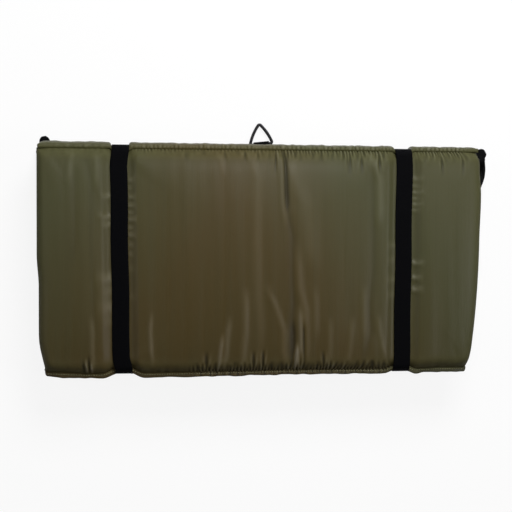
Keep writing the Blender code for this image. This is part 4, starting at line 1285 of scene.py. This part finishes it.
def weave_ribbon(name, centres, acrosses, widths, thickness, material, closed=False):
    """Webbing swept along its centre line, with full selvedges and a map along and across it."""
    centres = np.asarray(centres, float)
    count = len(centres)
    acrosses = np.broadcast_to(np.asarray(acrosses, float), centres.shape)
    widths = np.broadcast_to(np.asarray(widths, float), (count,))
    if closed:
        ahead = np.roll(centres, -1, axis=0) - np.roll(centres, 1, axis=0)
    else:
        ahead = np.gradient(centres, axis=0)
    ahead /= np.linalg.norm(ahead, axis=1, keepdims=True)
    acrosses = acrosses - ahead * np.sum(acrosses * ahead, axis=1, keepdims=True)
    acrosses /= np.linalg.norm(acrosses, axis=1, keepdims=True)
    normals = np.cross(ahead, acrosses)
    half_thick = thickness / 2
    flat = np.linspace(-1.0, 1.0, 7)
    arcs = np.radians([60.0, 30.0, 0.0, -30.0, -60.0])
    run = np.concatenate([[0.0], np.cumsum(np.linalg.norm(np.diff(centres, axis=0), axis=1))])
    places, maps = [], []
    for k, centre in enumerate(centres):
        half = widths[k] / 2 - half_thick
        section = [(half * u, half_thick) for u in flat]
        section += [(half + half_thick * math.cos(a), half_thick * math.sin(a)) for a in arcs]
        section += [(half * u, -half_thick) for u in flat[::-1]]
        section += [(-half - half_thick * math.cos(a), half_thick * math.sin(a)) for a in arcs[::-1]]
        places += [(centre + acrosses[k] * u + normals[k] * v).tolist() for u, v in section]
        maps += [(run[k], u) for u, v in section]
    size = len(section)
    if closed:
        index = np.arange(count * size).reshape(count, size)
        beside, after = np.roll(index, -1, axis=1), np.roll(index, -1, axis=0)
        faces = np.stack([index, beside, np.roll(beside, -1, axis=0), after], axis=-1)
        faces = faces.reshape(-1, 4).tolist()
    else:
        faces = tube_faces(count, size)
    ribbon = make_piece(name, places, faces)
    whole = run[-1] + float(np.linalg.norm(centres[0] - centres[-1]))
    corners = []
    for k, face in enumerate(faces):
        joins = closed and k >= (count - 1) * size
        corners += [
            (whole if joins and vertex < size else maps[vertex][0], maps[vertex][1]) for vertex in face
        ]
    layer = ribbon.data.uv_layers.new(name="weave")
    layer.data.foreach_set("uv", np.asarray(corners, dtype=np.float32).ravel())
    ribbon.data.materials.append(material)
    return ribbon


# Webbing weave: slanted ribs that change direction across the width, given as a height.
rib_group, rib_in, rib_out = new_group(
    "webbing_weave", {"Rib": 0.0017, "Stripe": 0.0042, "Slant": 0.9}, ("Height", "Thread")
)
rib_map = add_node(rib_group, "UVMap", uv_map="weave").outputs["UV"]
rib_axes = add_node(rib_group, "SeparateXYZ", {0: rib_map}).outputs
zigzag = math_node(rib_group, "PINGPONG", rib_axes["Y"], rib_in["Stripe"])
slanted = weighed_sum(rib_group, rib_axes["X"], (zigzag, rib_in["Slant"]))
rib_turns = math_node(rib_group, "MULTIPLY", slanted, math.tau)
rib_wave = math_node(rib_group, "SINE", math_node(rib_group, "DIVIDE", rib_turns, rib_in["Rib"]))
fill_inputs(rib_group, rib_out, {
    "Height": weighed_sum(rib_group, 0.5, (rib_wave, 0.5)),
    "Thread": noise_node(rib_group, rib_map, 1500.0, (0.35, 1.0, 1.0)),
})


def woven_black(name, dark, light, rib, stripe, slant, depth, roughness):
    """Black woven polyester, its threads a little lighter where they stand up."""
    material, tree, shader = new_material(name)
    ribs = {"Rib": rib, "Stripe": stripe, "Slant": slant}
    weave = add_node(tree, "Group", ribs, node_tree=rib_group).outputs
    mixed = weighed_sum(tree, 0.0, (weave["Height"], 0.6), (weave["Thread"], 0.4))
    fill_inputs(tree, shader, {
        "Base Color": mix_colours(tree, mixed, dark, light),
        "Roughness": weighed_sum(tree, roughness, (weave["Thread"], 0.2)),
        "Specular IOR Level": 0.05,
    })
    bump_chain(tree, shader, [(weave["Height"], depth), (weave["Thread"], depth * 0.4)])
    return material


webbing_black = woven_black(
    "black_webbing", dark=(0.0012, 0.0012, 0.0013), light=(0.0045, 0.0045, 0.0048),
    rib=0.0017, stripe=0.0042, slant=0.9, depth=0.00014, roughness=0.55
)


def arc_run(radius, start, stop, count):
    """Places on an arc about the origin of a plane."""
    return [(radius * math.cos(a), radius * math.sin(a)) for a in np.linspace(start, stop, count)]


def ring_axes(turn):
    """The directions along a ring's base bar and out to its tip."""
    return np.array([math.cos(turn), math.sin(turn), 0.0]), np.array([-math.sin(turn), math.cos(turn), 0.0])


def base_bar_length(width, height):
    """The straight stretch of a ring's base bar."""
    return width - 2 * RING_CORNER_ROUND / math.tan(math.atan2(height, width / 2) / 2)


def fold_tab(name, place, turn, wire_radius, angles, length, bend, under, ring_size, node, body):
    """A webbing tab: two flat layers that meet behind the base bar and go round it."""
    width = base_bar_length(*ring_size) - 2 * TAB_SLACK
    upper = under + 1.5 * WEBBING_THICKNESS
    lower = under + 0.5 * WEBBING_THICKNESS
    flat = (length, (length + bend) / 2, bend)
    line = [(-y, upper) for y in flat]
    line += arc_run(wire_radius + TAB_SLACK + WEBBING_THICKNESS / 2, *np.radians(angles), 15)
    line += [(-y, lower) for y in flat[::-1]]
    bar, out = ring_axes(turn)
    centres = [np.array(place) + out * y + UPWARD * z for y, z in smooth_run(line, 2)]
    tab = weave_ribbon(name, centres, bar, width, TAB_LAYER, webbing_black)
    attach(tab, body)
    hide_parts(node)
    for label, off_middle in TAB_STITCH_ROWS:
        row_middle = np.array(place) - out * (length + bend) / 2 + out * off_middle
        path = np.linspace(row_middle - bar * width * 0.40, row_middle + bar * width * 0.40, 12)
        path[:, 2] = place[2] + upper + TAB_LAYER / 2
        stitches = lay_stitches(f"{name}_stitches_{label}", path, TAB_STITCH_SIZE, black_thread)
        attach(stitches, body)


centre_ring = bend_wire(
    "centre_ring_wire", ring_line(*CENTRE_RING_SIZE), CENTRE_WIRE_RADIUS, CENTRE_RING_PLACE, CENTRE_RING_TURN
)
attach(centre_ring, "centre_ring")
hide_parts("centre_ring")
fold_tab(
    "centre_tab_webbing", CENTRE_RING_PLACE, CENTRE_RING_TURN, CENTRE_WIRE_RADIUS, angles=(80.0, -110.0),
    length=0.0221, bend=0.0150, under=0.0071, ring_size=CENTRE_BAR_OF, node="centre_ring_tab",
    body="back_panel"
)


# End rings, their tabs and the strap's end loops
# Two smaller wire rings at the ends of the ring edge. Each hangs on a tab sewn under a corner of the
# back panel and carries the gathered end of the shoulder strap, sewn in a loop through its tip.
END_WIRE_RADIUS = 0.0013
END_RING_SIZE = (0.0290, 0.0250)
# Of each ring: its side, place and turn, its tab's length, and its loop's width and shift sideways.
END_RINGS = (
    ("left", (-0.3024, 0.1503, 0.0065), math.radians(10.0), 0.0074, 0.0150, 0.0),
    ("right", (0.3213, 0.1459, 0.0065), math.radians(-60.0), 0.0156, 0.0160, -0.0026),
)
LOOP_LOW, LOOP_HIGH = 0.0128, 0.0272
LOOP_HALF = 0.0022
LOOP_TIP = 0.0075


def sew_loop(name, place, turn, width, aside, node, body):
    """The strap's end loop: webbing gathered narrow and sewn round the ring's tip."""
    turn_at = LOOP_HIGH - LOOP_HALF
    straight = np.linspace(LOOP_LOW + 0.004, turn_at, 5)
    line = [(LOOP_LOW, 0.0), (LOOP_LOW + 0.0012, LOOP_HALF * 0.75)]
    line += [(y, LOOP_HALF) for y in straight]
    line += [(turn_at + y, z) for y, z in arc_run(LOOP_HALF, math.pi / 2, -math.pi / 2, 9)[1:-1]]
    line += [(y, -LOOP_HALF) for y in straight[::-1]]
    line += [(LOOP_LOW + 0.0012, -LOOP_HALF * 0.75)]
    line = smooth_run(line, 2, closed=True)
    bar, out = ring_axes(turn)
    centres = [np.array(place) + bar * aside + out * y + UPWARD * z for y, z in line]
    tip = np.clip((line[:, 0] - (LOOP_HIGH - LOOP_TIP)) / LOOP_TIP, 0.0, 1.0)
    widths = width * np.sqrt(1 - 0.86 * tip**2)
    loop = weave_ribbon(name, centres, bar, widths, WEBBING_THICKNESS, webbing_black, closed=True)
    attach(loop, body)
    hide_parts(node)


for label, place, turn, tab_length, loop_width, loop_aside in END_RINGS:
    ring = bend_wire(f"{label}_ring_wire", ring_line(*END_RING_SIZE), END_WIRE_RADIUS, place, turn)
    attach(ring, f"{label}_ring")
    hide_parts(f"{label}_ring")
    fold_tab(
        f"{label}_tab_webbing", place, turn, END_WIRE_RADIUS, angles=(115.0, -90.0), length=tab_length,
        bend=0.0060, under=-0.0028, ring_size=END_RING_SIZE, node=f"{label}_ring_tab", body="back_panel"
    )
    sew_loop(
        f"{label}_loop_webbing", place, turn, loop_width, loop_aside, node=f"strap_loop_{label}",
        body=f"{label}_ring"
    )


# Shoulder strap
# One length of black webbing from ring to ring. It is sewn gathered on its loops, turns on edge
# down the ends of the mat, and crosses between the back and middle panels.
STRAP_WIDTH = 0.025
STRAP_EDGE_LEVEL = 0.0132

# Stations of the strap from its ring inward: the level and width at each, how far it stands on edge,
# and how far it lies out from the panel's long edge and end.
STRAP_LEVELS = (0.0102, 0.0108, 0.0132, 0.0160, 0.0162, 0.0150, 0.0135, 0.0132, 0.0132, STRAP_EDGE_LEVEL)
STRAP_WIDTHS = {
    -1: (0.010, 0.010, 0.0112, 0.0138, 0.015, 0.020, 0.025, 0.025, 0.025, 0.025),
    1: (0.0165, 0.0175, 0.0165, 0.0170, 0.0190, 0.022, 0.025, 0.025, 0.025, 0.025),
}
STRAP_UPRIGHT = {
    -1: (0.0, 0.0, 0.4, 0.85, 1.0, 1.0, 1.0, 1.0, 1.0, 1.0),
    1: (2.0, 2.0, 1.6, 1.14, 1.06, 1.05, 1.0, 1.0, 1.0, 1.0),
}
STRAP_PLACES = {
    -1: ((0.0240, -0.0041), (0.0176, -0.0010), (0.0115, 0.0022), (0.0060, 0.0042), (0.0, 0.0048),
         (-0.0100, 0.0050), (-0.0200, 0.0044), (-0.0320, 0.0028), (-0.0600, 0.0016), (-0.0900, 0.0014)),
    1: ((0.0128, 0.0268), (0.0072, 0.0234), (0.0005, 0.0240), (-0.0060, 0.0262), (-0.0130, 0.0266),
        (-0.0220, 0.0256), (-0.0320, 0.0234), (-0.0440, 0.0188), (-0.0600, 0.0124), (-0.0900, 0.0028)),
}

STRAP_CROSSING = 0.006
STRAP_GAP_LEVEL = 0.031
STRAP_WALL = PANEL_HALF_LENGTH + 0.0012
STRAP_TURN = 0.0145
STRAP_BEND = 0.0035
STRAP_INNER_END = 0.155
STRAP_PART = 6


def strap_run(side):
    """Centre, direction across and width of the strap from its ring to its crossing."""
    points = np.array([
        (side * (PANEL_HALF_LENGTH + beyond), PANEL_HALF_WIDTH + out, level)
        for (out, beyond), level in zip(STRAP_PLACES[side], STRAP_LEVELS)
    ])
    stations = []
    for point, way, width, upright in zip(
        points, np.gradient(points, axis=0), STRAP_WIDTHS[side], STRAP_UPRIGHT[side]
    ):
        inward = np.array([side * way[1], -side * way[0], 0.0])
        inward /= np.linalg.norm(inward)
        angle = math.pi / 2 * upright
        stations.append((*point, *(inward * math.cos(angle) + UPWARD * math.sin(angle)), width))
    return stations


def strap_crossing(side):
    """The strap's turn up an end of the mat and its bend in between two panels."""
    stations = []
    for angle in np.linspace(0.0, math.pi / 2, 7):
        y = STRAP_CROSSING + STRAP_TURN - STRAP_TURN * math.sin(angle)
        z = STRAP_EDGE_LEVEL + STRAP_TURN * (1 - math.cos(angle))
        stations.append((side * STRAP_WALL, y, z, 0.0, math.sin(angle), math.cos(angle), STRAP_WIDTH))
    middle_x, middle_z = STRAP_WALL - STRAP_BEND, STRAP_GAP_LEVEL - STRAP_BEND
    inner = [(middle_x + x, middle_z + z) for x, z in arc_run(STRAP_BEND, 0.0, math.pi / 2, 7)[1:]]
    inner += [(x, STRAP_GAP_LEVEL) for x in np.linspace(middle_x - 0.01, STRAP_INNER_END, 5)]
    return stations + [(side * x, STRAP_CROSSING, z, 0.0, 1.0, 0.0, STRAP_WIDTH) for x, z in inner]


def lay_strap(name, stations):
    """A length of the strap through its stations."""
    run = smooth_run(stations, 3)
    strap = weave_ribbon(name, run[:, :3], run[:, 3:6], run[:, 6], WEBBING_THICKNESS, webbing_black)
    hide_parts("shoulder_strap")
    return strap


left_run, right_run = (strap_run(side) + strap_crossing(side) for side in (-1, 1))
for label, stations in (("left", left_run), ("right", right_run)):
    end = lay_strap(f"{label}_strap_end", stations[:STRAP_PART + 1])
    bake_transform(end)
strap_stations = left_run[STRAP_PART:] + right_run[STRAP_PART:][::-1]
strap_middle = lay_strap("shoulder_strap_webbing", strap_stations)
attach(strap_middle, "back_panel")


# Elastic bands
# Two endless bands of black ribbed elastic that are pulled over the folded mat. Nothing is sewn to
# them: their own pull holds the mat shut, presses the face in and draws them narrower.
BAND_THICKNESS = 0.0015
BAND_LOW, BAND_HIGH = 0.00105, 0.08875
BAND_HALF_REACH = 0.15645
BAND_FACE_WIDTH = 0.0235
BAND_FAR_MORE = {-1: 0.0026, 1: 0.0007}
BAND_NEAR_LESS = {-1: 0.0024, 1: 0.0006}
BAND_LOW_ROUND, BAND_HIGH_ROUND = 0.01275, 0.0100
BAND_STEP = 0.006
BAND_DRIFT = 0.0004
TUG_FROM, TUG_OVER = 0.12, 0.03
TUG_LEVEL, TUG_LEVEL_OVER = 0.045, 0.030

band_black = woven_black(
    "black_elastic", dark=(0.0003, 0.0003, 0.0006), light=(0.0011, 0.0012, 0.0020),
    rib=0.0011, stripe=0.00095, slant=0.0, depth=0.00010, roughness=0.62
)


def band_line():
    """The band's centre line round the folded mat, seen from an end."""
    places = []
    for side, high, start in ((1, False, -90.0), (1, True, 0.0), (-1, True, 90.0), (-1, False, 180.0)):
        radius = BAND_HIGH_ROUND if high else BAND_LOW_ROUND
        z = BAND_HIGH - radius if high else BAND_LOW + radius
        arc = arc_run(radius, *np.radians([start, start + 90.0]), 11)
        places += [(side * (BAND_HALF_REACH - radius) + out, z + up) for out, up in arc]
    line = []
    for place, after in zip(places, places[1:] + places[:1]):
        steps = max(1, round(math.dist(place, after) / BAND_STEP))
        line += np.linspace(place, after, steps, endpoint=False).tolist()
    return np.array(line)


for label, side in (("left", -1), ("right", 1)):
    ways, levels = band_line().T
    face = np.clip((levels - BAND_LOW) / (BAND_HIGH - BAND_LOW), 0.0, 1.0)
    middles = band_middle(side, ways) * face + side * BAND_PLACE * (1 - face)
    phase = np.random.default_rng(90 + side).uniform(0.0, math.tau)
    drift = BAND_DRIFT * np.sin(ways / 0.021 + phase) * face
    high = eased((levels - TUG_LEVEL) / TUG_LEVEL_OVER)
    tug = BAND_FAR_MORE[side] * eased((ways - TUG_FROM) / TUG_OVER)
    tug = tug + BAND_NEAR_LESS[side] * eased((-ways - TUG_FROM) / TUG_OVER)
    centres = np.stack([middles + drift, ways + tug * high, levels], axis=-1)
    band = weave_ribbon(
        f"elastic_band_{label}_loop", centres, (1.0, 0.0, 0.0), BAND_FACE_WIDTH, BAND_THICKNESS, band_black,
        closed=True
    )
    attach(band, "back_panel")
    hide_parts(f"elastic_band_{label}")
    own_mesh(band)
